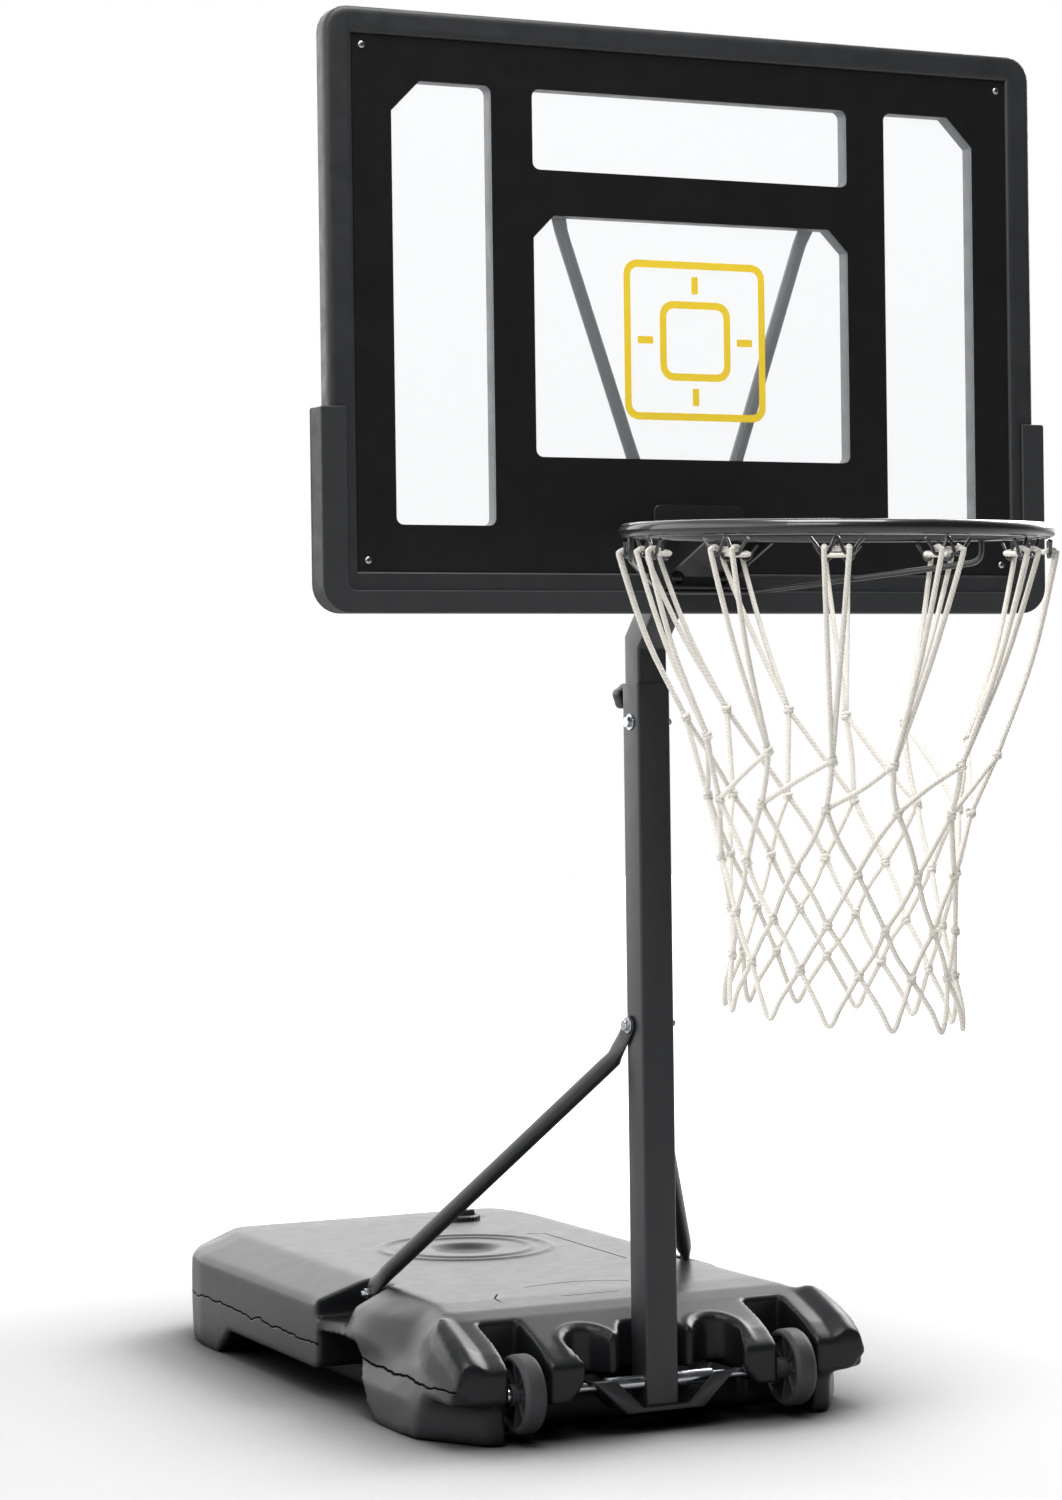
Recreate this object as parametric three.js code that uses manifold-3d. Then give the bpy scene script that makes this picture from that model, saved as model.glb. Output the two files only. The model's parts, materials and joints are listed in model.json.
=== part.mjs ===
// Poolside basketball hoop: a water-filled base on two wheels, a telescoping square pole with two struts,
// a framed board with windows, and a hooked rim with its net. Millimetres, +Z up, -Y to the front.
import * as THREE from 'three';
import { mergeVertices } from 'three/addons/utils/BufferGeometryUtils.js';
import Module from 'manifold-3d';

const wasm = await Module();
wasm.setup();

// Clearances
const gap = 0.3;
const runningGap = 0.5;
const overrun = 2;
const tinyEdge = 0.02;

// Base tank, measured from the pole's axis
const baseWidth = 600;
const baseHeight = 150;
const baseFront = 32;
const baseRear = 1000;

// Base skin, from front to rear. Each row: place along the base, top height, then half widths at the
// foot, belt, waist, shoulder and crest
const baseRowShares = [
  [0.000, 0.620, 0.975, 0.965, 0.955, 0.950, 0.925],
  [0.008, 0.668, 0.982, 0.970, 0.955, 0.951, 0.935],
  [0.027, 0.753, 0.985, 0.972, 0.955, 0.951, 0.938],
  [0.047, 0.813, 0.990, 0.975, 0.955, 0.951, 0.935],
  [0.080, 0.893, 0.992, 0.978, 0.950, 0.945, 0.920],
  [0.098, 0.935, 0.995, 0.980, 0.945, 0.925, 0.875],
  [0.128, 0.980, 1.000, 0.982, 0.938, 0.900, 0.820],
  [0.181, 1.000, 1.000, 0.985, 0.930, 0.870, 0.767],
  [0.254, 1.000, 1.000, 0.985, 0.935, 0.870, 0.757],
  [0.351, 1.000, 1.000, 0.990, 0.950, 0.890, 0.750],
  [0.403, 1.000, 1.000, 1.000, 1.000, 1.000, 0.753],
  [0.845, 1.000, 1.000, 1.000, 1.000, 1.000, 0.753],
  [0.895, 1.000, 0.975, 0.980, 0.980, 0.978, 0.735],
  [0.940, 0.995, 0.900, 0.910, 0.910, 0.905, 0.700],
  [0.966, 0.975, 0.820, 0.830, 0.830, 0.822, 0.655],
  [0.986, 0.920, 0.730, 0.740, 0.740, 0.730, 0.600],
  [1.000, 0.830, 0.650, 0.655, 0.655, 0.640, 0.540],
];
const beltShare = 0.30;
const waistShare = 0.60;
const shoulderShare = 0.84;

// Lip under the two front fenders
const lipSetBack = 10;
const lipHeight = 52;
const lipCornerRun = 22;
const lipPlanSide = 62;
const lipPlanRun = 96;

// Wheels and axle
const wheelDiameter = 97.4;
const wheelWidth = 28.5;
const wheelCentre = 187.8;
const wheelShoulder = 5;
const wheelTread = 9;
const wheelWeb = 8;
const wheelHubDiameter = 27;
const wheelHubProud = 2.5;
const axleDiameter = 12;
const axleHeight = 60;
const axleForward = 8.2;
const axleCapDiameter = 19;
const axleCapWall = 2.5;
const axleGrip = 3.5;
const sleeveDiameter = 19;
const wheelFacets = 20;

// Wheel slots, the front well round the pole and the recess under it
const slotInner = 159;
const slotOuter = 214.3;
const slotBack = 64;
const wellHalfWidth = 121;
const wellDepth = 40;
const wellOutlineShares = [
  [0.91, -0.75], [0.96, -0.30], [1.00, 0.05], [0.98, 0.33], [0.91, 0.62], [0.82, 0.77], [0.73, 0.81],
  [0.63, 0.72], [0.55, 0.48], [0.47, 0.13], [0.405, 0.15], [0.35, 0.40], [0.29, 0.75], [0.24, 1.00],
];
const recessHeight = 70;
const recessLow = 46;
const recessFlat = 28;
const recessBack = 72;

// On each side: a pocket in the deck for the strut's foot, a gap between the blocks under it, and an arch
const pocketInner = 215;
const pocketFront = 322;
const pocketBack = 390;
const pocketFloorDrop = 46;
const pocketCorner = 9;
const gapFootFront = 188;
const gapFootBack = 401;
const gapKneeRun = 39;
const gapKneeHeight = 22;
const gapCeilingFront = 285;
const gapCeilingBack = 384;
const gapCeilingDrop = 62;
const gapHeel = 43;
const archHeight = 36;
const archFromRear = 225;
const archRamp = 50;

// Dish on the deck with its raised rings
const dishBack = 578;
const dishCurve = 128;
const dishDepth = 12;
const dishRingOuter = 125;
const dishRingWidth = 12;
const dishRingPitch = 27;
const dishRingHeight = 3;
const dishRings = 2;
const dishFacets = 24;

// Filler cap in its pocket on the deck
const capSide = 110;
const capFromRear = 150;
const capDiameter = 62;
const capRim = 6;
const capPlugDiameter = 40;
const capPlugDepth = 16;
const capPocketDepth = 5;
const capThickness = 11;
const capGripWidth = 9;
const capGripHeight = 6;
const capFacets = 20;

// Pole
const poleWidth = 45;
const poleWall = 1.6;
const poleCorner = 4;
const poleFoot = 30;
const poleSlack = 0.9;
const bendHeight = 980;
const bendAbovePole = 51;
const slideDown = 30;
const slideUp = 200;
const innerPoleSpare = 76;

// Fasteners
const boltDiameter = 8;
const hexAcross = 13;
const headHeight = 5.3;
const nutHeight = 6.5;
const flangeDiameter = 21;
const flangeHeight = 1.6;
const threadProud = 5;
const poleBoltDrop = 48;

// Star knob and its welded nut
const knobDrop = 16;
const knobDiameter = 34;
const knobDepth = 20;
const knobNeck = 5;
const knobLobes = 5;
const knobLobeShare = 0.14;
const knobFacetsPerLobe = 6;
const knobTip = 0.4;
const bossWidth = 16;
const bossHeight = 11;

// Folded bracket at the pole's foot
const bracketTopHalf = 99;
const bracketFloorHalf = 55;
const bracketTop = 68;
const bracketPlate = 3;
const bracketHalfDepth = 31;
const windowTopHalf = 49;
const windowFloorHalf = 35;
const windowBand = 6;

// Struts
const strutBoltClear = 72;
const strutTopBack = 9;
const strutFootSide = 230;
const strutFootBack = 369;
const strutFootDrop = 16;
const strutDiameter = 22;
const strutTab = 4;
const strutTabWidth = 25;
const strutTabReach = 11;
const strutFootTab = 14;
const strutFootNeck = 40;
const strutTopTab = 33;
const strutTopNeck = 62;
const studDepth = 24;

// Board: frame, clear sheet and lower pad
const boardForward = 144;
const boardWidth = 958;
const boardHeight = 695.6;
const boardCorner = 30;
const bandDepth = 19;
const borderProud = 5;
const borderRound = 3;
const borderSide = 35;
const borderTop = 31.6;
const borderBottom = 42;
const sheetThickness = 3;
const sideBand = 49.4;
const sideWindowWidth = 127;
const sideWindowRise = 54.6;
const sideChamfer = 36;
const topBand = 50.3;
const middleBand = 53.9;
const titleWindowHeight = 94.6;
const crossBand = 53.8;
const midWindowHeight = 286.5;
const midChamfer = 27;
const windowCorner = 9;
const padWall = 6.4;
const padSide = 12.5;
const padRise = 232;
const padCorner = 34;
const padLip = 20;
const padFront = 4;
const padBack = 5;
const screwInset = 12.5;
const screwDiameter = 4;
const screwHead = 9;
const screwHeadHeight = 2;
const screwLength = 16;

// Arms behind the board
const armFootSide = 40.8;
const armTopInset = 36.5;
const armWidth = 16;
const armTab = 3;
const armTabWidth = 20;
const armTabLength = 13;
const armNeck = 30;

// Board bracket behind the frame, at the end of the inner pole
const plateHalf = 62;
const plateBelowPole = 57.1;
const plateHeight = 112;
const plateLipClear = 2;
const plateThickness = 4;
const plateCorner = 8;

// Rim
const rimInside = 457;
const rimTube = 17;
const ringStandOff = 98.6;
const ringRise = 52.7;
const rimDroopDegrees = 2;
const rimPlateHalf = 61;
const rimPlateHeight = 102;
const rimPlateThickness = 4;
const rimPlateCorner = 10;
const rimFlange = 20;
const rimShelfHalf = 58;
const rimShelfFrontHalf = 50;
const rimGusset = 44;
const rimGussetFoot = 50;
const rimGussetNose = 12;
const lowBoltRise = 14;
const lowBoltSide = 30;
const highBoltRise = 73;
const carriageHead = 17;
const carriageDome = [[1, 0], [0.92, 0.16], [0.62, 0.36], [0.25, 0.44]];
const braceDiameter = 7;
const braceEndDegrees = 75;
const braceDrop = 24;
const rimFacets = 48;

// Net hooks
const hookCount = 12;
const hookWire = 4;
const hookLoopRadius = 7;
const hookLoopSide = 13;
const hookLoopHeight = 13.5;
const hookTipSide = 28;
const hookTipDrop = 3;
const hookSteps = 14;

// Net. Each row of knots has its radius as a share of the rim's, its drop as a share of the net's, its place
// as a share of the hooks' pitch, and how much it hangs lower in front and on the right
const cordDiameter = 6;
const knotDiameter = 14;
const cordSides = 4;
const cordClear = 0.7;
const netRowShares = [
  [0.7257, 0.4234, 0.12, 1.00, 0.6],
  [0.6287, 0.5620, 0.20, 0.25, 0.8],
  [0.5612, 0.6880, 0.75, 0.25, 0.9],
  [0.5232, 0.7993, 0.25, 0.25, 1.0],
  [0.5232, 0.8942, 0.72, 0.25, 1.1],
];
const netLoopShare = 0.5654;
const netLength = 546;
const netSway = 7;
const netLean = 33;
const netSlant = 10;
const netGatherShare = 0.28;
const netGatherPlace = 5.4;
const hangShare = 0.5;
const loopShare = 0.6;
const loopPlaceShare = 0.5;
const loopSteps = 6;

// Facets round a bar, a flange, a small screw, a rod and the ring's tube
const barFacets = 12;
const flangeFacets = 16;
const screwFacets = 8;
const rodFacets = 8;
const hubFacets = 16;

// Places worked out from the sizes: base
const baseHalf = baseWidth / 2;
const baseLength = baseFront + baseRear;
const wheelRadius = wheelDiameter / 2;
const axleRadius = axleDiameter / 2;
const wheelInnerFace = wheelCentre - wheelWidth / 2;
const wheelOuterFace = wheelCentre + wheelWidth / 2;
const hubOuterFace = wheelOuterFace + wheelHubProud;
const capBack = baseRear - capFromRear;
const strutFootHeight = baseHeight - strutFootDrop;

// Places: pole
const poleHalf = poleWidth / 2;
const innerHalf = poleHalf - poleWall - poleSlack;
const boltRadius = boltDiameter / 2;
const boltHole = boltRadius + gap;
const screwRadius = screwDiameter / 2;
const screwHole = screwRadius + gap;
const poleTop = bendHeight - bendAbovePole;
const poleBoltHeight = poleTop - poleBoltDrop;
const knobHeight = poleTop - knobDrop;
const innerPoleBottom = poleBoltHeight - slideUp - innerPoleSpare;
const strutTopHeight = innerPoleBottom - slideDown - strutBoltClear;

// Places: board, from front to back, then upwards from the end of the inner pole
const boardFace = -boardForward;
const frameFront = boardFace + sheetThickness + gap;
const frameBack = frameFront + bandDepth;
const borderFront = boardFace - borderProud;
const plateFront = frameBack + gap;
const plateRear = plateFront + plateThickness;
const innerPoleEnd = plateRear + gap;
const plateBottom = bendHeight + Math.abs(innerPoleEnd) - plateBelowPole;
const plateTop = plateBottom + plateHeight;
const boardBottom = plateBottom - padLip - plateLipClear;
const boardTop = boardBottom + boardHeight;
const boardHalf = boardWidth / 2;
const padBottom = boardBottom - padWall;
const padTop = boardBottom + padRise;
const padHalf = boardHalf + padSide;
const sheetHalf = boardHalf - borderSide;
const sheetBottom = boardBottom + borderBottom;
const sheetTop = boardTop - borderTop;
const windowsTop = sheetTop - topBand;
const sideWindowOuter = sheetHalf - sideBand;
const sideWindowInner = sideWindowOuter - sideWindowWidth;
const sideWindowBottom = sheetBottom + sideWindowRise;
const midWindowHalf = sideWindowInner - middleBand;
const titleWindowBottom = windowsTop - titleWindowHeight;
const midWindowTop = titleWindowBottom - crossBand;
const midWindowBottom = midWindowTop - midWindowHeight;

// Places: rim, bolts and arms
const rimRadius = (rimInside + rimTube) / 2;
const rimTubeRadius = rimTube / 2;
const rimDroop = THREE.MathUtils.degToRad(rimDroopDegrees);
const rimPlateTop = plateBottom + rimPlateHeight;
const rimCentreForward = boardForward + ringStandOff + rimRadius;
const rimCentreHeight = plateBottom + ringRise;
const rimCentre = new THREE.Vector3(0, -rimCentreForward, rimCentreHeight);
const rimFront = -rimCentreForward - rimRadius * Math.cos(rimDroop) - rimTubeRadius;
const lowBoltHeight = plateBottom + lowBoltRise;
const highBoltHeight = plateBottom + highBoltRise;
const armTopHeight = midWindowTop + crossBand / 2;
const armTopSide = midWindowHalf - armTopInset;
const middleY = (rimFront + baseRear) / 2;

// Materials
const finish = (color, roughness, metalness) => (
  new THREE.MeshStandardMaterial({ color, roughness, metalness })
);
const mouldedBlack = finish('#1b1c1e', 0.5, 0);
const framePlastic = finish('#222326', 0.55, 0);
const paintedSteel = finish('#1c1d1f', 0.42, 0.1);
const rimPaint = finish('#141416', 0.3, 0.2);
const wheelPlastic = finish('#2b2c2e', 0.7, 0);
const zinc = finish('#b9bcc0', 0.3, 1);
const clearSheet = finish('#dfe6ea', 0.08, 0);
const knobPlastic = finish('#17181a', 0.5, 0);
const cotton = finish('#ece6da', 0.9, 0);

// A closed mesh with merged vertices as a solid
function solid(geometry) {
  const bare = geometry.clone();
  bare.deleteAttribute('normal');
  bare.deleteAttribute('uv');
  const merged = mergeVertices(bare);
  const vertProperties = new Float32Array(merged.attributes.position.array);
  const triVerts = new Uint32Array(merged.index.array);
  return new wasm.Manifold(new wasm.Mesh({ numProp: 3, vertProperties, triVerts }));
}

function join(first, ...others) {
  return others.reduce((whole, part) => whole.add(part), first);
}

function cut(first, ...others) {
  return others.reduce((whole, part) => whole.subtract(part), first);
}

function toGeometry(shape) {
  const mesh = shape.getMesh();
  const geometry = new THREE.BufferGeometry();
  geometry.setAttribute('position', new THREE.BufferAttribute(mesh.vertProperties, 3));
  geometry.setIndex(new THREE.BufferAttribute(mesh.triVerts, 1));
  geometry.computeVertexNormals();
  return geometry;
}

const part = new THREE.Group();
part.position.y = -middleY;

function place(name, shape, material) {
  const geometry = shape.isBufferGeometry ? shape : toGeometry(shape);
  const mesh = new THREE.Mesh(geometry, material);
  mesh.name = name;
  part.add(mesh);
}

// Outlines are drawn in (y, z) along X, in (x, z) along Y and in (x, y) along Z
const unitX = new THREE.Vector3(1, 0, 0);
const unitY = new THREE.Vector3(0, 1, 0);
const unitZ = new THREE.Vector3(0, 0, 1);
const turned = {
  x: new THREE.Matrix4().makeBasis(unitY, unitZ, unitX),
  y: new THREE.Matrix4().makeBasis(unitX, unitZ, unitY.clone().negate()),
  z: new THREE.Matrix4(),
};

function prism(outline, axis, from, to, curveSegments = 4) {
  const drawn = outline instanceof THREE.Shape;
  const shape = drawn ? outline : new THREE.Shape(outline.map(([a, b]) => new THREE.Vector2(a, b)));
  const geometry = new THREE.ExtrudeGeometry(shape, { depth: to - from, bevelEnabled: false, curveSegments });
  geometry.translate(0, 0, axis === 'y' ? -to : from);
  geometry.applyMatrix4(turned[axis]);
  return solid(geometry);
}

// An outline with rounded corners: each point has its own radius, with zero for a sharp one
function roundedShape(points) {
  const shape = new THREE.Shape();
  points.forEach(([x, y, radius = 0], index) => {
    const corner = new THREE.Vector2(x, y);
    const before = new THREE.Vector2(...points.at(index - 1).slice(0, 2));
    const after = new THREE.Vector2(...points[(index + 1) % points.length].slice(0, 2));
    const towardsBefore = before.sub(corner).normalize();
    const towardsAfter = after.sub(corner).normalize();
    const angle = Math.acos(THREE.MathUtils.clamp(towardsBefore.dot(towardsAfter), -1, 1));
    const reach = radius / Math.tan(angle / 2);
    const start = corner.clone().addScaledVector(towardsBefore, reach);
    const end = corner.clone().addScaledVector(towardsAfter, reach);
    if (index === 0) shape.moveTo(start.x, start.y);
    else shape.lineTo(start.x, start.y);
    if (radius > 0) shape.quadraticCurveTo(corner.x, corner.y, end.x, end.y);
  });
  shape.closePath();
  return shape;
}

function rectangle(left, bottom, right, top, radius = 0) {
  return roundedShape([
    [left, bottom, radius], [right, bottom, radius], [right, top, radius], [left, top, radius],
  ]);
}

function box(x0, x1, y0, y1, z0, z1) {
  return prism([[x0, y0], [x1, y0], [x1, y1], [x0, y1]], 'z', z0, z1);
}

// A round bar between two places along an axis, centred on the other two coordinates
function bar(axis, radius, from, to, a, b, facets = barFacets) {
  const outline = Array.from({ length: facets }, (_, index) => {
    const angle = (index / facets) * Math.PI * 2;
    return [a + radius * Math.cos(angle), b + radius * Math.sin(angle)];
  });
  return prism(outline, axis, from, to);
}

function hexBar(axis, across, from, to, a, b) {
  return bar(axis, across / Math.sqrt(3), from, to, a, b, 6);
}

function mirrorX(shape) {
  return shape.mirror([1, 0, 0]);
}

// A closed skin through rings with equal counts of points, with a flat fan over each end
function skin(rings) {
  const count = rings[0].length;
  const positions = rings.flat().flatMap((point) => [point.x, point.y, point.z]);
  const faces = [];
  for (let ring = 0; ring < rings.length - 1; ring += 1) {
    for (let index = 0; index < count; index += 1) {
      const a = ring * count + index;
      const b = ring * count + ((index + 1) % count);
      faces.push([a, b, b + count], [a, b + count, a + count]);
    }
  }
  const last = (rings.length - 1) * count;
  for (let index = 1; index < count - 1; index += 1) {
    faces.push([0, index + 1, index], [last, last + index, last + index + 1]);
  }
  const corner = (index) => new THREE.Vector3().fromArray(positions, index * 3);
  const volume = faces.reduce((sum, [a, b, c]) => sum + corner(a).dot(corner(b).cross(corner(c))), 0);
  const indices = faces.flatMap(([a, b, c]) => (volume < 0 ? [a, c, b] : [a, b, c]));
  const geometry = new THREE.BufferGeometry();
  geometry.setAttribute('position', new THREE.Float32BufferAttribute(positions, 3));
  geometry.setIndex(indices);
  return solid(geometry);
}

// A round cord or wire along a smooth curve through the points
function wire(points, radius, steps, sides) {
  const outline = Array.from({ length: sides }, (_, index) => {
    const angle = (index / sides) * Math.PI * 2;
    return new THREE.Vector2(radius * Math.cos(angle), radius * Math.sin(angle));
  });
  const extrudePath = new THREE.CatmullRomCurve3(points);
  const options = { steps, extrudePath, bevelEnabled: false };
  return solid(new THREE.ExtrudeGeometry(new THREE.Shape(outline), options));
}

// A hexagon bolt along X or Y: flange, head and shank, from the seat outwards and inwards
function hexBolt(axis, seat, shankEnd, a, b) {
  const outwards = Math.sign(seat - shankEnd);
  const flangeTop = seat + outwards * flangeHeight;
  const headTop = flangeTop + outwards * headHeight;
  const between = (from, to) => [Math.min(from, to), Math.max(from, to)];
  return join(
    bar(axis, boltRadius, ...between(shankEnd, flangeTop), a, b),
    bar(axis, flangeDiameter / 2, ...between(seat, flangeTop), a, b, flangeFacets),
    hexBar(axis, hexAcross, ...between(seat, headTop), a, b),
  );
}

function hexNut(axis, from, to, a, b) {
  const hole = bar(axis, boltHole, from - overrun, to + overrun, a, b);
  return cut(hexBar(axis, hexAcross, from, to, a, b), hole);
}

// Base tank
function baseRing([along, top, ...widths]) {
  const levels = [0, beltShare, waistShare, shoulderShare, 1];
  const y = -baseFront + along * baseLength;
  const right = widths.map((width, index) => (
    new THREE.Vector3(width * baseHalf, y, levels[index] * top * baseHeight)
  ));
  const left = right.map((point) => new THREE.Vector3(-point.x, point.y, point.z)).reverse();
  return [...right, ...left];
}

function wellCut() {
  const right = wellOutlineShares.map(([side, depth]) => [side * wellHalfWidth, depth * wellDepth]);
  const mouth = right[0][0];
  const left = right.map(([x, y]) => [-x, y]).reverse();
  const front = -baseFront - overrun;
  return prism([[-mouth, front], [mouth, front], ...right, ...left], 'z', -overrun, baseHeight + overrun);
}

function frontRecessCut() {
  const reach = slotInner + overrun;
  const flat = slotInner - recessFlat;
  const mouth = wellOutlineShares[0][0] * wellHalfWidth;
  const right = [[reach, -overrun], [reach, recessLow], [flat, recessLow], [mouth, recessHeight]];
  const left = right.map(([x, z]) => [-x, z]).reverse();
  return prism([...left, ...right], 'y', -baseFront - overrun, recessBack);
}

// The gap between the blocks and the arch after it, both open at the side and on the floor
function sideGapCut() {
  const archEnd = baseRear - archFromRear;
  const ceiling = baseHeight - gapCeilingDrop;
  const outline = [
    [gapFootFront, -overrun], [gapFootFront + gapKneeRun, gapKneeHeight], [gapCeilingFront, ceiling],
    [gapCeilingBack, ceiling], [gapCeilingBack, gapHeel], [gapFootBack, archHeight],
    [archEnd - archRamp, archHeight], [archEnd, -overrun],
  ];
  return prism(outline, 'x', pocketInner, baseHalf + overrun);
}

function strutPocketCut() {
  const outer = baseHalf + overrun;
  const outline = roundedShape([
    [pocketInner, pocketFront, pocketCorner], [outer, pocketFront], [outer, pocketBack],
    [pocketInner, pocketBack, pocketCorner],
  ]);
  return prism(outline, 'z', baseHeight - pocketFloorDrop, baseHeight + overrun);
}

function fenderLipCut() {
  const faceHalf = baseRowShares[0][4] * baseHalf;
  const outline = [
    [slotInner, -overrun], [slotInner, lipHeight], [faceHalf - lipCornerRun, lipHeight],
    [faceHalf, lipHeight + lipCornerRun], [baseHalf + overrun, lipHeight + lipCornerRun],
    [baseHalf + overrun, -overrun],
  ];
  return prism(outline, 'y', -baseFront - overrun, -baseFront + lipSetBack);
}

// Under the fender's nose the lower half turns in at its corner
function lowerCornerCut() {
  const front = -baseFront - overrun;
  const outer = baseHalf + overrun;
  const back = -baseFront + lipSetBack + lipPlanRun;
  return prism([
    [baseHalf - lipPlanSide, front], [outer, front], [outer, back], [baseHalf, back],
    [baseHalf - lipPlanSide, -baseFront + lipSetBack],
  ], 'z', -overrun, lipHeight);
}

function deckRing(outer) {
  const inner = outer - dishRingWidth;
  const low = baseHeight - overrun;
  const high = baseHeight + dishRingHeight;
  const ramp = dishRingHeight;
  const profile = [
    [inner, low], [outer, low], [outer, baseHeight], [outer - ramp, high], [inner + ramp, high],
    [inner, baseHeight], [inner, low],
  ];
  const points = profile.map(([r, z]) => new THREE.Vector2(r, z));
  const geometry = new THREE.LatheGeometry(points, dishFacets);
  geometry.rotateX(Math.PI / 2);
  geometry.translate(0, dishBack, 0);
  return solid(geometry);
}

function dishCut() {
  const ball = new THREE.SphereGeometry(dishCurve, dishFacets, dishFacets / 2);
  ball.rotateX(Math.PI / 2);
  ball.translate(0, dishBack, baseHeight - dishDepth + dishCurve);
  return solid(ball);
}

function baseTank() {
  const top = baseHeight + overrun;
  const right = [
    box(slotInner, slotOuter, -baseFront - overrun, slotBack, -overrun, top),
    sideGapCut(),
    strutPocketCut(),
    fenderLipCut(),
    lowerCornerCut(),
    bar('x', boltHole, pocketInner - studDepth - gap, pocketInner + overrun, strutFootBack, strutFootHeight),
  ];
  const axleReach = slotInner + overrun;
  const plugDepth = capPocketDepth + capPlugDepth + runningGap;
  const capPocket = bar('z', capDiameter / 2 + runningGap, baseHeight - capPocketDepth, top, capSide, capBack,
    capFacets);
  const capNeck = bar('z', capPlugDiameter / 2 + gap, baseHeight - plugDepth, baseHeight, capSide, capBack,
    capFacets);
  const middle = [
    wellCut(), frontRecessCut(), dishCut(), capPocket, capNeck,
    bar('x', axleRadius + gap, -axleReach, axleReach, -axleForward, axleHeight),
  ];
  const rings = Array.from({ length: dishRings }, (_, index) => (
    deckRing(dishRingOuter - index * dishRingPitch)
  ));
  return cut(join(skin(baseRowShares.map(baseRing)), ...rings), ...right, ...right.map(mirrorX), ...middle);
}

function fillerCap() {
  const floor = baseHeight - capPocketDepth + gap;
  const top = floor + capThickness;
  const gripHalf = capDiameter / 2 - capRim;
  return join(
    bar('z', capDiameter / 2, floor, top, capSide, capBack, capFacets),
    bar('z', capPlugDiameter / 2, floor - capPlugDepth, floor + overrun, capSide, capBack, capFacets),
    box(capSide - gripHalf, capSide + gripHalf, capBack - capGripWidth / 2, capBack + capGripWidth / 2,
      top - overrun, top + capGripHeight),
  );
}

place('base_tank', baseTank(), mouldedBlack);
place('fill_cap', fillerCap(), mouldedBlack);

// Wheels, axle and the pieces on it
function lathed(profile, facets) {
  const geometry = new THREE.LatheGeometry(profile.map(([r, x]) => new THREE.Vector2(r, x)), facets);
  geometry.rotateZ(-Math.PI / 2);
  geometry.translate(0, -axleForward, axleHeight);
  return solid(geometry);
}

function wheel() {
  const bore = axleRadius + gap;
  const hub = wheelHubDiameter / 2;
  const hubInner = slotInner + runningGap;
  const treadInner = wheelRadius - wheelTread;
  const webInner = wheelCentre - wheelWeb / 2;
  const webOuter = wheelCentre + wheelWeb / 2;
  return lathed([
    [bore, hubInner], [hub, hubInner], [hub, webInner], [treadInner, webInner], [treadInner, wheelInnerFace],
    [wheelRadius - wheelShoulder, wheelInnerFace], [wheelRadius, wheelInnerFace + wheelShoulder],
    [wheelRadius, wheelOuterFace - wheelShoulder], [wheelRadius - wheelShoulder, wheelOuterFace],
    [treadInner, wheelOuterFace], [treadInner, webOuter], [hub, webOuter], [hub, hubOuterFace],
    [bore, hubOuterFace], [bore, hubInner],
  ], wheelFacets);
}

function axleCap() {
  const inner = hubOuterFace + runningGap;
  const bottom = inner + axleGrip + gap;
  const bore = axleRadius + gap;
  const radius = axleCapDiameter / 2;
  const crown = bottom + axleCapWall;
  return lathed([
    [0, bottom], [bore, bottom], [bore, inner], [radius, inner], [radius, bottom], [axleRadius, crown],
    [0, crown],
  ], hubFacets);
}

// The sleeve runs from the pole to the sloping wall of the foot bracket
function bracketHalfAt(height) {
  const floor = poleFoot - gap - bracketPlate;
  return bracketFloorHalf + (bracketTopHalf - bracketFloorHalf) * ((height - floor) / (bracketTop - floor));
}

function sleeve() {
  const inner = poleHalf + gap;
  const outer = bracketHalfAt(axleHeight - sleeveDiameter / 2) - bracketPlate * 2;
  const bore = axleRadius + gap;
  const radius = sleeveDiameter / 2;
  return lathed([[bore, inner], [radius, inner], [radius, outer], [bore, outer], [bore, inner]], hubFacets);
}

const rightWheel = wheel();
const axleEnd = hubOuterFace + runningGap + axleGrip;
place('axle', bar('x', axleRadius, -axleEnd, axleEnd, -axleForward, axleHeight), zinc);
for (const [side, flip] of [['left', mirrorX], ['right', (shape) => shape]]) {
  place(`wheel_${side}`, flip(rightWheel), wheelPlastic);
  place(`axle_cap_${side}`, flip(axleCap()), zinc);
  place(`axle_sleeve_${side}`, flip(sleeve()), zinc);
}

// Folded bracket at the pole's foot
function footBracket() {
  const floor = poleFoot - gap - bracketPlate;
  const tray = (inset, depth, low, high) => prism([
    [-bracketFloorHalf + inset, low], [bracketFloorHalf - inset, low],
    [bracketHalfAt(high) - inset, high], [-bracketHalfAt(high) + inset, high],
  ], 'y', -depth, depth);
  const window = prism([
    [-windowFloorHalf, floor + windowBand], [windowFloorHalf, floor + windowBand],
    [windowTopHalf, bracketTop - windowBand], [-windowTopHalf, bracketTop - windowBand],
  ], 'y', -bracketHalfDepth - overrun, bracketHalfDepth + overrun);
  const depth = bracketHalfDepth - bracketPlate;
  const hollow = tray(bracketPlate, depth, floor + bracketPlate, bracketTop + overrun);
  const reach = bracketTopHalf + overrun;
  const bore = bar('x', axleRadius + gap, -reach, reach, -axleForward, axleHeight);
  return cut(tray(0, bracketHalfDepth, floor, bracketTop), hollow, window, bore);
}

place('pole_foot_bracket', footBracket(), paintedSteel);

// Pole
function squareTube(width, wall, corner) {
  const outer = rectangle(-width / 2, -width / 2, width / 2, width / 2, corner);
  const half = width / 2 - wall;
  const inner = rectangle(-half, -half, half, half, Math.max(corner - wall, 0));
  outer.holes.push(new THREE.Path(inner.getPoints(3)));
  return outer;
}

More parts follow.
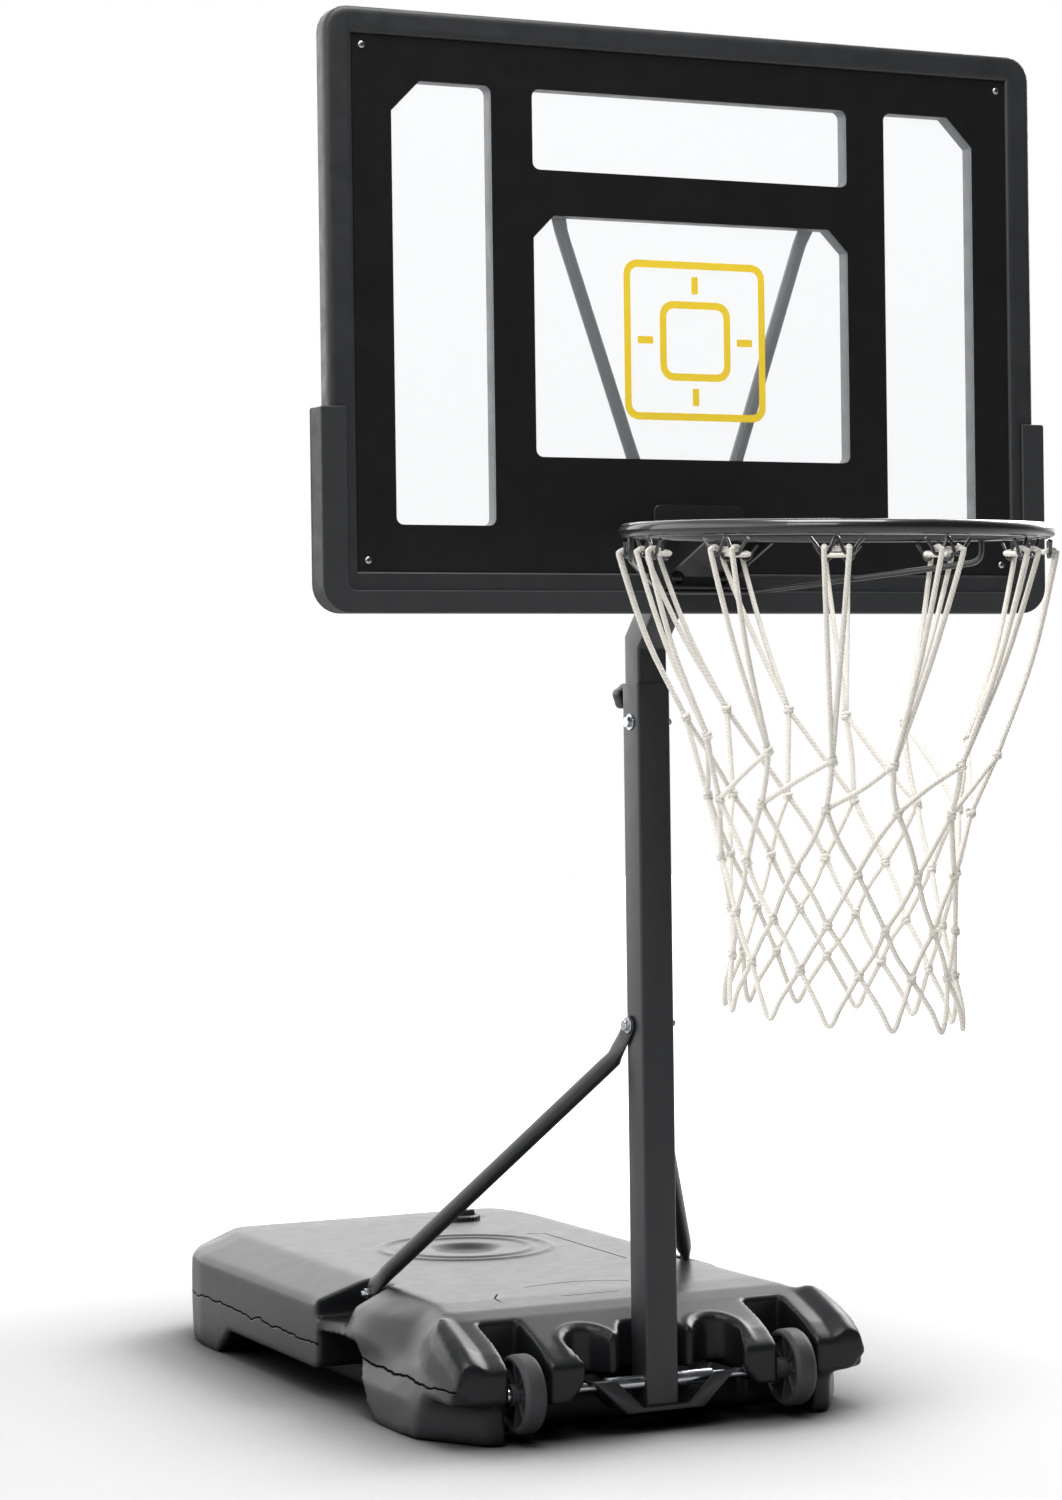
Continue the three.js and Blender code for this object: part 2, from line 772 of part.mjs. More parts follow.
function lowerPole() {
  const reach = poleHalf + overrun;
  return cut(
    prism(squareTube(poleWidth, poleWall, poleCorner), 'z', poleFoot, poleTop, 3),
    bar('x', axleRadius + gap, -reach, reach, -axleForward, axleHeight),
    bar('x', boltHole, -reach, reach, strutTopBack, strutTopHeight),
    bar('x', boltHole, -reach, reach, 0, poleBoltHeight),
    bar('y', boltHole, innerHalf, reach, 0, knobHeight),
  );
}

// The inner pole rises, then bends forward at 45 degrees to the board bracket
function bentProfile(half, bottom, end) {
  const mitre = half * Math.tan(Math.PI / 8);
  const rise = Math.abs(end);
  const slant = half * Math.SQRT2;
  return [
    [half, bottom], [half, bendHeight + mitre], [end, bendHeight + rise + slant],
    [end, bendHeight + rise - slant], [-half, bendHeight - mitre], [-half, bottom],
  ];
}

function upperPole() {
  const inside = innerHalf - poleWall;
  const past = innerPoleEnd - overrun;
  const hollow = prism(bentProfile(inside, innerPoleBottom - overrun, past), 'x', -inside, inside);
  const slotHalf = boltHole;
  const slotBottom = poleBoltHeight - slideUp - boltRadius;
  const slotTop = poleBoltHeight + slideDown + boltRadius;
  const slot = rectangle(-slotHalf, slotBottom - gap, slotHalf, slotTop + gap, boltRadius);
  const reach = innerHalf + overrun;
  const body = prism(bentProfile(innerHalf, innerPoleBottom, innerPoleEnd), 'x', -innerHalf, innerHalf);
  return cut(body, hollow, prism(slot, 'x', -reach, reach));
}

place('lower_pole', lowerPole(), paintedSteel);
place('upper_pole', upperPole(), paintedSteel);

// Cross bolt through both tubes, with its nut
const poleSeat = poleHalf + gap;
const poleBoltEnd = poleSeat + nutHeight + threadProud;
place('pole_bolt', hexBolt('x', -poleSeat, poleBoltEnd, 0, poleBoltHeight), zinc);
place('pole_nut', hexNut('x', poleSeat, poleSeat + nutHeight, 0, poleBoltHeight), zinc);

// Welded nut and star knob on the back of the lower pole
function knobBoss() {
  const half = bossWidth / 2;
  const back = poleSeat + bossHeight;
  const block = box(-half, half, poleSeat, back, knobHeight - half, knobHeight + half);
  return cut(block, bar('y', boltHole, poleSeat - overrun, back + overrun, 0, knobHeight));
}

function starKnob() {
  const facets = knobLobes * knobFacetsPerLobe;
  const radius = knobDiameter / 2;
  const outline = Array.from({ length: facets }, (_, index) => {
    const angle = (index / facets) * Math.PI * 2;
    const reach = radius * (1 - knobLobeShare * (1 - Math.cos(knobLobes * angle)) / 2);
    return [reach * Math.sin(angle), knobHeight + reach * Math.cos(angle)];
  });
  const neckFrom = poleSeat + bossHeight + runningGap;
  const headFrom = neckFrom + knobNeck;
  return join(
    prism(outline, 'y', headFrom, headFrom + knobDepth),
    bar('y', bossWidth / 2, neckFrom, headFrom + overrun, 0, knobHeight),
    bar('y', boltRadius, innerHalf + knobTip, neckFrom + overrun, 0, knobHeight),
  );
}

place('knob_boss', knobBoss(), paintedSteel);
place('star_knob', starKnob(), knobPlastic);

// Struts with flattened ends
function ovalRing(centre, along, halfWidth, halfThickness) {
  const across = unitX.clone().cross(along).normalize();
  const through = along.clone().cross(across).normalize();
  return Array.from({ length: barFacets }, (_, index) => {
    const angle = (index / barFacets) * Math.PI * 2;
    const squared = (value) => Math.sign(value) * Math.sqrt(Math.abs(value));
    const flat = halfThickness < halfWidth / 2;
    const c = flat ? squared(Math.cos(angle)) : Math.cos(angle);
    const s = flat ? squared(Math.sin(angle)) : Math.sin(angle);
    return centre.clone().addScaledVector(across, c * halfWidth).addScaledVector(through, s * halfThickness);
  });
}

function strut() {
  const tabHalf = strutTab / 2;
  const top = new THREE.Vector3(poleSeat + tabHalf, strutTopBack, strutTopHeight);
  const foot = new THREE.Vector3(strutFootSide, strutFootBack, strutFootHeight);
  const run = new THREE.Vector3(0, foot.y - top.y, foot.z - top.z).normalize();
  const at = (from, distance) => from.clone().addScaledVector(run, distance);
  const neckTop = at(top, strutTopNeck);
  const neckFoot = at(foot, -strutFootNeck);
  const along = neckFoot.clone().sub(neckTop).normalize();
  const round = strutDiameter / 2;
  const rings = [
    ovalRing(at(top, -strutTabReach), run, strutTabWidth / 3, tabHalf),
    ovalRing(at(top, -strutTabReach / 2), run, strutTabWidth / 2, tabHalf),
    ovalRing(at(top, strutTopTab), run, strutTabWidth / 2, tabHalf),
    ovalRing(neckTop, along, round, round),
    ovalRing(neckFoot, along, round, round),
    ovalRing(at(foot, -strutFootTab), run, strutTabWidth / 2, tabHalf),
    ovalRing(at(foot, strutTabReach / 2), run, strutTabWidth / 2, tabHalf),
    ovalRing(at(foot, strutTabReach), run, strutTabWidth / 3, tabHalf),
  ];
  return cut(
    skin(rings),
    bar('x', boltHole, poleSeat - overrun, poleSeat + strutTab + overrun, strutTopBack, strutTopHeight),
    bar('x', boltHole, foot.x - strutTab, foot.x + strutTab, strutFootBack, strutFootHeight),
  );
}

// The stud is held in the tank and carries the strut between a shoulder and a nut
function strutStud() {
  const shoulder = strutFootSide - strutTab / 2 - gap;
  const nutFrom = strutFootSide + strutTab / 2 + gap;
  return join(
    bar('x', boltRadius, pocketInner - studDepth, nutFrom + nutHeight + threadProud, strutFootBack,
      strutFootHeight),
    bar('x', flangeDiameter / 2, pocketInner + gap, shoulder, strutFootBack, strutFootHeight, flangeFacets),
  );
}

const strutSeat = poleSeat + strutTab + gap;
const rightStrut = strut();
const strutBoltEnd = strutSeat + nutHeight + threadProud;
place('strut_top_bolt', hexBolt('x', -strutSeat, strutBoltEnd, strutTopBack, strutTopHeight), zinc);
place('strut_top_nut', hexNut('x', strutSeat, strutSeat + nutHeight, strutTopBack, strutTopHeight), zinc);
for (const [side, flip] of [['left', mirrorX], ['right', (shape) => shape]]) {
  const nutFrom = strutFootSide + strutTab / 2 + gap;
  place(`strut_${side}`, flip(rightStrut), paintedSteel);
  place(`strut_stud_${side}`, flip(strutStud()), zinc);
  const nut = hexNut('x', nutFrom, nutFrom + nutHeight, strutFootBack, strutFootHeight);
  place(`strut_nut_${side}`, flip(nut), zinc);
}

// Board frame, clear sheet, lower pad and corner screws
const windowOutlines = [
  rectangle(-midWindowHalf, titleWindowBottom, midWindowHalf, windowsTop, windowCorner),
  roundedShape([
    [-midWindowHalf, midWindowBottom, windowCorner], [midWindowHalf, midWindowBottom, windowCorner],
    [midWindowHalf, midWindowTop - midChamfer], [midWindowHalf - midChamfer, midWindowTop],
    [midChamfer - midWindowHalf, midWindowTop], [-midWindowHalf, midWindowTop - midChamfer],
  ]),
  ...[-1, 1].map((side) => roundedShape([
    [side * sideWindowInner, sideWindowBottom, windowCorner],
    [side * sideWindowOuter, sideWindowBottom, windowCorner],
    [side * sideWindowOuter, windowsTop - sideChamfer], [side * (sideWindowOuter - sideChamfer), windowsTop],
    [side * sideWindowInner, windowsTop, windowCorner],
  ])),
];

const screwPlaces = [-1, 1].flatMap((side) => [
  [side * (sheetHalf - screwInset), sheetBottom + screwInset, 'lower'],
  [side * (sheetHalf - screwInset), sheetTop - screwInset, 'upper'],
]);
const rimBoltPlaces = [-1, 1].flatMap((side) => [
  [side * lowBoltSide, lowBoltHeight, 'lower'],
  [side * armFootSide, highBoltHeight, 'upper'],
]);

function boardHoles() {
  const front = borderFront - overrun;
  const back = plateRear + overrun;
  const tip = boardFace + screwLength + gap;
  const screws = screwPlaces.map(([x, z]) => bar('y', screwHole, front, tip, x, z, screwFacets));
  const bolts = rimBoltPlaces.map(([x, z]) => bar('y', boltHole, front, back, x, z));
  return [...screws, ...bolts];
}

function boardFrame() {
  const outer = [-boardHalf, boardBottom, boardHalf, boardTop, boardCorner];
  const opening = [-sheetHalf - gap, sheetBottom - gap, sheetHalf + gap, sheetTop + gap];
  const body = prism(rectangle(...outer), 'y', frameFront, frameBack);
  const border = rectangle(...outer);
  border.holes.push(new THREE.Path(rectangle(...opening).getPoints(1)));
  const raised = new THREE.ExtrudeGeometry(border, {
    depth: frameFront + overrun - borderFront - 2 * borderRound,
    bevelEnabled: true,
    bevelThickness: borderRound,
    bevelSize: borderRound,
    bevelOffset: -borderRound,
    bevelSegments: 2,
    curveSegments: 4,
  });
  raised.applyMatrix4(turned.y);
  raised.translate(0, frameFront + overrun - borderRound, 0);
  const seatHalf = rimPlateHalf + runningGap;
  const plateSeat = box(-seatHalf, seatHalf, borderFront - overrun, boardFace, plateBottom - runningGap,
    sheetBottom + overrun);
  const windows = windowOutlines.map((outline) => (
    prism(outline, 'y', frameFront - overrun, frameBack + overrun)
  ));
  const armScrews = [-1, 1].map((side) => (
    armScrewBar(side, screwHole, frameBack - screwLength - gap, frameBack + overrun)
  ));
  return cut(join(body, solid(raised)), plateSeat, ...windows, ...boardHoles(), ...armScrews);
}

function armScrewBar(side, radius, from, to) {
  return bar('y', radius, from, to, side * armTopSide, armTopHeight, screwFacets);
}

function boardSheet() {
  const sheet = box(-sheetHalf, sheetHalf, boardFace, boardFace + sheetThickness, sheetBottom, sheetTop);
  return cut(sheet, ...boardHoles());
}

function lowerPad() {
  const front = borderFront - gap - padFront;
  const back = frameBack + gap + padBack;
  const outer = roundedShape([
    [-padHalf, padBottom, padCorner], [padHalf, padBottom, padCorner], [padHalf, padTop], [-padHalf, padTop],
  ]);
  const inner = (inset) => roundedShape([
    [-boardHalf - gap + inset, boardBottom - gap + inset, Math.max(boardCorner - inset, 0)],
    [boardHalf + gap - inset, boardBottom - gap + inset, Math.max(boardCorner - inset, 0)],
    [boardHalf + gap - inset, padTop + overrun], [-boardHalf - gap + inset, padTop + overrun],
  ]);
  return cut(
    prism(outer, 'y', front, back),
    prism(inner(0), 'y', borderFront - gap, frameBack + gap),
    prism(inner(padLip), 'y', front - overrun, back + overrun),
  );
}

function cornerScrew(x, z) {
  return join(
    bar('y', screwRadius, boardFace - gap - screwHeadHeight, boardFace + screwLength, x, z, screwFacets),
    bar('y', screwHead / 2, boardFace - gap - screwHeadHeight, boardFace - gap, x, z),
  );
}

place('board_frame', boardFrame(), framePlastic);
place('board_sheet', boardSheet(), clearSheet);
place('lower_pad', lowerPad(), mouldedBlack);
for (const [x, z, level] of screwPlaces) {
  place(`sheet_screw_${level}_${x < 0 ? 'left' : 'right'}`, cornerScrew(x, z), zinc);
}

// Arms behind the board, from the band between the windows down to the bracket
function squareRing(centre, along, halfWidth, front, back) {
  const across = along.clone().cross(unitY).normalize();
  const corners = [[-1, front], [1, front], [1, back], [-1, back]];
  return corners.map(([side, y]) => centre.clone().addScaledVector(across, side * halfWidth).setY(y));
}

function arm() {
  const top = new THREE.Vector3(armTopSide, 0, armTopHeight);
  const foot = new THREE.Vector3(armFootSide, 0, highBoltHeight);
  const along = foot.clone().sub(top).normalize();
  const tubeFront = frameBack + gap;
  const tubeBack = tubeFront + armWidth;
  const tabHalf = armTabWidth / 2;
  const highTab = [tubeFront, tubeFront + armTab];
  const lowTab = [plateRear + gap, plateRear + gap + armTab];
  const half = armWidth / 2;
  const at = (from, distance) => from.clone().addScaledVector(along, distance);
  const belowBracket = (plateTop - highBoltHeight) + armNeck / 2;
  const rings = [
    squareRing(at(top, -armTabLength), along, tabHalf, ...highTab),
    squareRing(at(top, armTabLength), along, tabHalf, ...highTab),
    squareRing(at(top, armTabLength + armNeck), along, half, tubeFront, tubeBack),
    squareRing(at(foot, -belowBracket - armNeck), along, half, tubeFront, tubeBack),
    squareRing(at(foot, -belowBracket), along, tabHalf, lowTab[0], lowTab[1] + armTab),
    squareRing(at(foot, -armTabLength), along, tabHalf, ...lowTab),
    squareRing(at(foot, armTabLength), along, tabHalf, ...lowTab),
  ];
  return cut(
    skin(rings),
    armScrewBar(1, screwHole, frameBack, tubeBack),
    bar('y', boltHole, plateFront, tubeBack, foot.x, foot.z),
  );
}

function armScrew() {
  const seat = frameBack + gap + armTab + gap;
  return join(
    armScrewBar(1, screwRadius, frameBack - screwLength, seat + screwHeadHeight),
    bar('y', screwHead / 2, seat, seat + screwHeadHeight, armTopSide, armTopHeight),
  );
}

function boardBracket() {
  const outline = rectangle(-plateHalf, plateBottom, plateHalf, plateTop, plateCorner);
  return cut(prism(outline, 'y', plateFront, plateRear), ...boardHoles());
}

for (const [side, flip] of [['left', mirrorX], ['right', (shape) => shape]]) {
  place(`v_arm_${side}`, flip(arm()), paintedSteel);
  place(`arm_screw_${side}`, flip(armScrew()), zinc);
}
place('board_bracket', boardBracket(), paintedSteel);

// Rim: every place on it is tilted about the ring's centre
const droop = new THREE.Matrix4().makeRotationX(rimDroop);

function onRim(angle, radius, rise, along = 0) {
  const point = new THREE.Vector3(radius * Math.sin(angle), radius * Math.cos(angle), rise);
  point.add(new THREE.Vector3(Math.cos(angle) * along, -Math.sin(angle) * along, 0));
  return point.applyMatrix4(droop).add(rimCentre);
}

function ring(tubeRadius) {
  const geometry = new THREE.TorusGeometry(rimRadius, tubeRadius, rodFacets, rimFacets);
  geometry.applyMatrix4(droop);
  geometry.translate(rimCentre.x, rimCentre.y, rimCentre.z);
  return solid(geometry);
}

const rimPlateBack = boardFace - gap;
const rimPlateFace = rimPlateBack - rimPlateThickness;
const rimBack = -rimCentreForward + rimRadius;
const shelfMiddle = rimCentreHeight + rimRadius * Math.sin(rimDroop);

function rimBracket() {
  const nose = rimBack - rimTubeRadius / 2;
  const shelfTop = shelfMiddle + rimPlateThickness / 2;
  const outline = rectangle(-rimPlateHalf, plateBottom, rimPlateHalf, rimPlateTop, rimPlateCorner);
  const plate = prism(outline, 'y', rimPlateFace, rimPlateBack);
  const flange = box(-rimPlateHalf, rimPlateHalf, rimPlateFace - rimFlange, rimPlateBack, plateBottom,
    plateBottom + rimPlateThickness);
  const shelf = prism([
    [-rimShelfHalf, rimPlateBack], [-rimShelfFrontHalf, nose], [rimShelfFrontHalf, nose],
    [rimShelfHalf, rimPlateBack],
  ], 'z', shelfTop - rimPlateThickness, shelfTop);
  const web = prism([
    [rimPlateFace + overrun, shelfTop], [rimPlateFace + overrun, shelfTop - rimGussetFoot],
    [nose, shelfTop - rimGussetNose], [nose, shelfTop],
  ], 'x', rimGusset, rimGusset + rimPlateThickness);
  const holes = rimBoltPlaces.map(([x, z]) => (
    bar('y', boltHole, rimPlateFace - overrun, rimPlateBack + overrun, x, z)
  ));
  return cut(join(plate, flange, shelf, web, mirrorX(web)), ring(rimTubeRadius + gap), ...holes);
}

function brace() {
  const radius = braceDiameter / 2;
  const angle = THREE.MathUtils.degToRad(braceEndDegrees);
  const backY = rimPlateFace - rimFlange / 2;
  const backZ = plateBottom - gap - radius;
  const right = [
    onRim(angle, rimRadius, -rimTubeRadius - gap),
    onRim(angle, rimRadius, -rimTubeRadius - braceDrop),
    new THREE.Vector3(rimPlateHalf, backY, backZ),
  ];
  const left = right.map((point) => new THREE.Vector3(-point.x, point.y, point.z)).reverse();
  return bentRod([...right, ...left], radius, rodFacets);
}

// A rod with mitred bends through the points
function bentRod(points, radius, sides) {
  const rings = points.map((point, index) => {
    const into = index > 0 ? point.clone().sub(points[index - 1]).normalize() : null;
    const out = index < points.length - 1 ? points[index + 1].clone().sub(point).normalize() : null;
    const normal = (into && out ? into.clone().add(out) : into ?? out).normalize();
    return { point, normal, along: out ?? into };
  });
  let across = new THREE.Vector3().crossVectors(rings[0].along, unitY).normalize();
  return skin(rings.map(({ point, normal }, index) => {
    const along = index > 0 ? point.clone().sub(points[index - 1]).normalize() : rings[0].along;
    across = across.sub(along.clone().multiplyScalar(across.dot(along))).normalize();
    const up = new THREE.Vector3().crossVectors(along, across).normalize();
    return Array.from({ length: sides }, (_, side) => {
      const angle = (side / sides) * Math.PI * 2;
      const offset = across.clone().multiplyScalar(radius * Math.cos(angle));
      offset.addScaledVector(up, radius * Math.sin(angle));
      const slide = -offset.dot(normal) / along.dot(normal);
      return point.clone().add(offset).addScaledVector(along, slide);
    });
  }));
}

// A carriage bolt through the whole board, with its nut behind the bracket or the arm's end
function rimBolt(x, z, nutTo) {
  const seat = rimPlateFace - gap;
  const radius = carriageHead / 2;
  const rings = carriageDome.map(([share, rise]) => Array.from({ length: barFacets }, (_, index) => {
    const angle = (index / barFacets) * Math.PI * 2;
    const reach = share * radius;
    return new THREE.Vector3(x + reach * Math.cos(angle), seat - rise * radius, z + reach * Math.sin(angle));
  }));
  return join(skin(rings), bar('y', boltRadius, seat - gap, nutTo + threadProud, x, z));
}

place('rim_bracket', rimBracket(), rimPaint);
place('rim_ring', ring(rimTubeRadius), rimPaint);
place('rim_brace', brace(), rimPaint);
for (const [x, z, level] of rimBoltPlaces) {
  const side = x < 0 ? 'left' : 'right';
  const seat = plateRear + gap + (level === 'upper' ? armTab + gap : 0);
  place(`rim_bolt_${level}_${side}`, rimBolt(x, z, seat + nutHeight), rimPaint);
  place(`rim_nut_${level}_${side}`, hexNut('y', seat, seat + nutHeight, x, z), zinc);
}

// Net hooks: a W of wire under the ring at each station
const wireRadius = hookWire / 2;
const hookTop = -rimTubeRadius - gap - wireRadius;

function hook(angle) {
  const loopMiddle = -rimTubeRadius - hookLoopHeight;
  const loop = (side) => [180, 225, 270, 315, 360].map((degrees) => {
    const turn = THREE.MathUtils.degToRad(degrees);
    const along = side * hookLoopSide + hookLoopRadius * Math.cos(turn);
    return [along, loopMiddle + hookLoopRadius * Math.sin(turn)];
  });
  const tip = [hookTipSide, -rimTubeRadius - hookTipDrop];
  const flat = [[-tip[0], tip[1]], ...loop(-1), [0, hookTop], ...loop(1), tip];
  const points = flat.map(([along, rise]) => onRim(angle, rimRadius, rise, along));
  return wire(points, wireRadius, hookSteps, cordSides);
}

for (let index = 0; index < hookCount; index += 1) {
  place(`net_hook_${String(index + 1).padStart(2, '0')}`, hook((index / hookCount) * Math.PI * 2), rimPaint);
}

// Net: a loop of cord over each hook, rows of knots and a hanging loop under each pair
function netPlace(place, radius, drop, leanShare, slantShare) {
  const turn = (place / hookCount) * Math.PI * 2;
  const lean = leanShare * netLean * Math.cos(turn) - slantShare * netSlant * Math.sin(turn);
  return new THREE.Vector3(
    radius * Math.sin(turn),
    -rimCentreForward + radius * Math.cos(turn),
    rimCentreHeight - drop + lean,
  );
}

// The first row's knots are drawn together in front and at the back
function netKnot(row, index) {
  const [radiusShare, dropShare, placeShare, leanShare, slantShare] = netRowShares[row];
  const gather = Math.cos(((index - netGatherPlace) / hookCount) * Math.PI * 4);
  const place = index + placeShare + (row === 0 ? netGatherShare * gather : 0);
  const sway = netSway * Math.sin(5 * place + 2 * row) / 2;
  return netPlace(place, radiusShare * rimRadius + sway, dropShare * netLength, leanShare, slantShare);
}

function between(a, b, share, outwards) {
  const middle = a.clone().lerp(b, share);
  const away = new THREE.Vector3(middle.x, middle.y + rimCentreForward, 0).normalize();
  return middle.addScaledVector(away, outwards);
}

function hookLoop(index) {
  const angle = (index / hookCount) * Math.PI * 2;
  const beside = wireRadius + cordDiameter / 2 + cordClear;
  const over = -rimTubeRadius - hookLoopHeight - hookLoopRadius + beside;
  const under = over - beside * 2;
  const at = (along, out, rise) => onRim(angle, rimRadius + out, rise, along);
  const knot = netKnot(0, index);
  const sideLeft = at(-hookLoopSide, beside, under);
  const sideRight = at(hookLoopSide, beside, under);
  const points = [
    knot, between(knot, sideLeft, hangShare, netSway), sideLeft, at(-hookLoopSide, beside, over),
    at(-hookLoopSide, -beside, over), at(hookLoopSide, -beside, over), at(hookLoopSide, beside, over),
    sideRight, between(knot, sideRight, hangShare, netSway), knot,
  ];
  return bentRod(points, cordDiameter / 2, cordSides);
}

// The loop that hangs from two neighbours in the lowest row
function lowLoop(index) {
  const lowest = netRowShares.length - 1;
  const start = netKnot(lowest, index);
  const end = netKnot(lowest, (index + 1) % hookCount);
  const [, , placeShare, leanShare, slantShare] = netRowShares[lowest];
  const place = index + placeShare + loopPlaceShare;
  const low = netPlace(place, netLoopShare * rimRadius, netLength, leanShare, slantShare);
  const points = [
    start, between(start, low, loopShare, netSway / 2), low, between(end, low, loopShare, netSway / 2), end,
  ];
  return wire(points, cordDiameter / 2, loopSteps, cordSides);
}

function knotBall(point) {
  const ball = new THREE.OctahedronGeometry(knotDiameter / 2, 0);
  ball.rotateZ(Math.atan2(-point.x, point.y + rimCentreForward));
  ball.translate(point.x, point.y, point.z);
  return solid(ball);
}

function net() {
  const strands = [];
  const knots = [];
  const strand = (from, to) => bentRod([from, to], cordDiameter / 2, cordSides);
  for (let index = 0; index < hookCount; index += 1) {
    strands.push(hookLoop(index), lowLoop(index));
    netRowShares.forEach((_, row) => {
      const here = netKnot(row, index);
      knots.push(here);
      if (row === netRowShares.length - 1) return;
      const shift = row % 2 === 0 ? 1 : -1;
      const beside = (index + shift + hookCount) % hookCount;
      strands.push(strand(here, netKnot(row + 1, index)), strand(here, netKnot(row + 1, beside)));
    });
  }
  return join(strands[0], ...strands.slice(1), ...knots.map(knotBall)).simplify(tinyEdge);
}

place('net', net(), cotton);

export default part;
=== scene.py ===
"""Looks of a poolside basketball hoop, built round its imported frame.

Sizes and places are in millimetres, from the pole's axis at the floor, as in the part's source, where a
note doesn't say otherwise. to_frame() turns them into the frame's metres, where the origin lies under the
middle of the whole object.
"""

from __future__ import annotations

import json
import logging
from dataclasses import dataclass
from enum import Enum
from math import copysign, cos, pi, radians, sin, sqrt, tan, tau
from typing import Iterable, Sequence

import bmesh
import bpy
import numpy as np
from mathutils import Matrix, Vector
from mathutils.geometry import tessellate_polygon

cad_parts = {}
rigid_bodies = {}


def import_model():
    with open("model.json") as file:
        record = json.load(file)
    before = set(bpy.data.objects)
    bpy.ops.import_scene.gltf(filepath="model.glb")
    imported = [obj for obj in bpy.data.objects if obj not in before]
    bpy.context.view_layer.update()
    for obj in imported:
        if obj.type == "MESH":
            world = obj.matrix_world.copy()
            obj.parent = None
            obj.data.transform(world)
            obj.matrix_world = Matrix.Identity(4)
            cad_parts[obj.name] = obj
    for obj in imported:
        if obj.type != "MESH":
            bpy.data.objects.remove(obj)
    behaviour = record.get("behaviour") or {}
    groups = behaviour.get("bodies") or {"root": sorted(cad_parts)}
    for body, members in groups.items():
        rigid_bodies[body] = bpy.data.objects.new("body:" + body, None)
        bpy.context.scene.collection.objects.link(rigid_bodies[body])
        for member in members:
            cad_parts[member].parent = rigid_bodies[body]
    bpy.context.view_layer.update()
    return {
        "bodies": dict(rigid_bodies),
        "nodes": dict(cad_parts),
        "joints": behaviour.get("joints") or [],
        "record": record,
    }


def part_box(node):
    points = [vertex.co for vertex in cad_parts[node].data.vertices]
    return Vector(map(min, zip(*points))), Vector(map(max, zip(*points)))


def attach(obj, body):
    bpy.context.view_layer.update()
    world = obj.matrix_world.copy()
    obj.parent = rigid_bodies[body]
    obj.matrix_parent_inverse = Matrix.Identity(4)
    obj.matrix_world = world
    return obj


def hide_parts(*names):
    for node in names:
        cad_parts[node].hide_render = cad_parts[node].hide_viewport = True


LOG = logging.getLogger("hoop")

MM = 0.001
AXIS_SHIFT = 137.52
SHARP_ANGLE = radians(34.0)

Point = Sequence[float]
Spot = tuple[float, float, float]
Pair = tuple[float, float]
Outline = list[Pair]
Piece = bpy.types.Object
Tree = bpy.types.NodeTree
Socket = bpy.types.NodeSocket
Node = bpy.types.Node
Mesh = bpy.types.Mesh
Material = bpy.types.Material


class Side(Enum):
    """The two mirrored sides of the object, as a sign along X."""

    LEFT = -1
    RIGHT = 1

    @property
    def word(self) -> str:
        """The side's name as the nodes spell it."""
        return self.name.lower()


class Body(str, Enum):
    """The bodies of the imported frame."""

    BASE = "base_and_pole"
    BOARD = "board_and_rim"
    LEFT_WHEEL = "left_wheel"
    RIGHT_WHEEL = "right_wheel"
    KNOB = "height_knob"


class Relief(Enum):
    """How a finish breaks up its surface."""

    GRAIN = "grain"
    ORANGE_PEEL = "orange peel"
    PLATED = "plated"
    CLEAR = "clear"


# Colours and materials


def linear(hex_text: str, alpha: float = 1.0) -> tuple[float, float, float, float]:
    """Turn an sRGB hex colour into linear values.

    Args:
        hex_text: Six hex digits after a hash.
        alpha: The fourth value, passed on.

    Returns:
        Red, green, blue and alpha for a colour socket.
    """
    parts = [int(hex_text[start : start + 2], 16) / 255 for start in (1, 3, 5)]
    red, green, blue = (
        value / 12.92 if value <= 0.04045 else ((value + 0.055) / 1.055) ** 2.4 for value in parts
    )
    return red, green, blue, alpha


def add_node(tree: Tree, kind: str, inputs: dict | None = None, **settings) -> Node:
    """Add one node, set its properties and fill its inputs.

    Args:
        tree: The tree that gets the node.
        kind: The node's type name, without the part that the tree's own type gives.
        inputs: What its inputs are filled with.
        **settings: Properties of the node itself.

    Returns:
        The new node.
    """
    prefix = "" if kind.startswith("NodeGroup") else tree.bl_idname.removesuffix("Tree")
    node = tree.nodes.new(prefix + kind)
    for name, value in settings.items():
        setattr(node, name, value)
    fill(tree, node, inputs or {})
    return node


def fill(tree: Tree, node: Node, inputs: dict) -> None:
    """Give a node's inputs their values and links.

    Args:
        tree: The node's tree.
        node: The node.
        inputs: Values, output sockets, or nodes for their first output, by input name or number.
    """
    for name, value in inputs.items():
        if isinstance(value, Node):
            value = value.outputs[0]
        if isinstance(value, Socket):
            tree.links.new(value, node.inputs[name])
        else:
            node.inputs[name].default_value = value


def blank(name: str) -> tuple[Material, Tree, Node]:
    """Make a material to work on.

    Args:
        name: The material's name.

    Returns:
        The material, its tree and its Principled shader.
    """
    material = bpy.data.materials.new(name)
    material.use_nodes = True
    return material, material.node_tree, material.node_tree.nodes["Principled BSDF"]


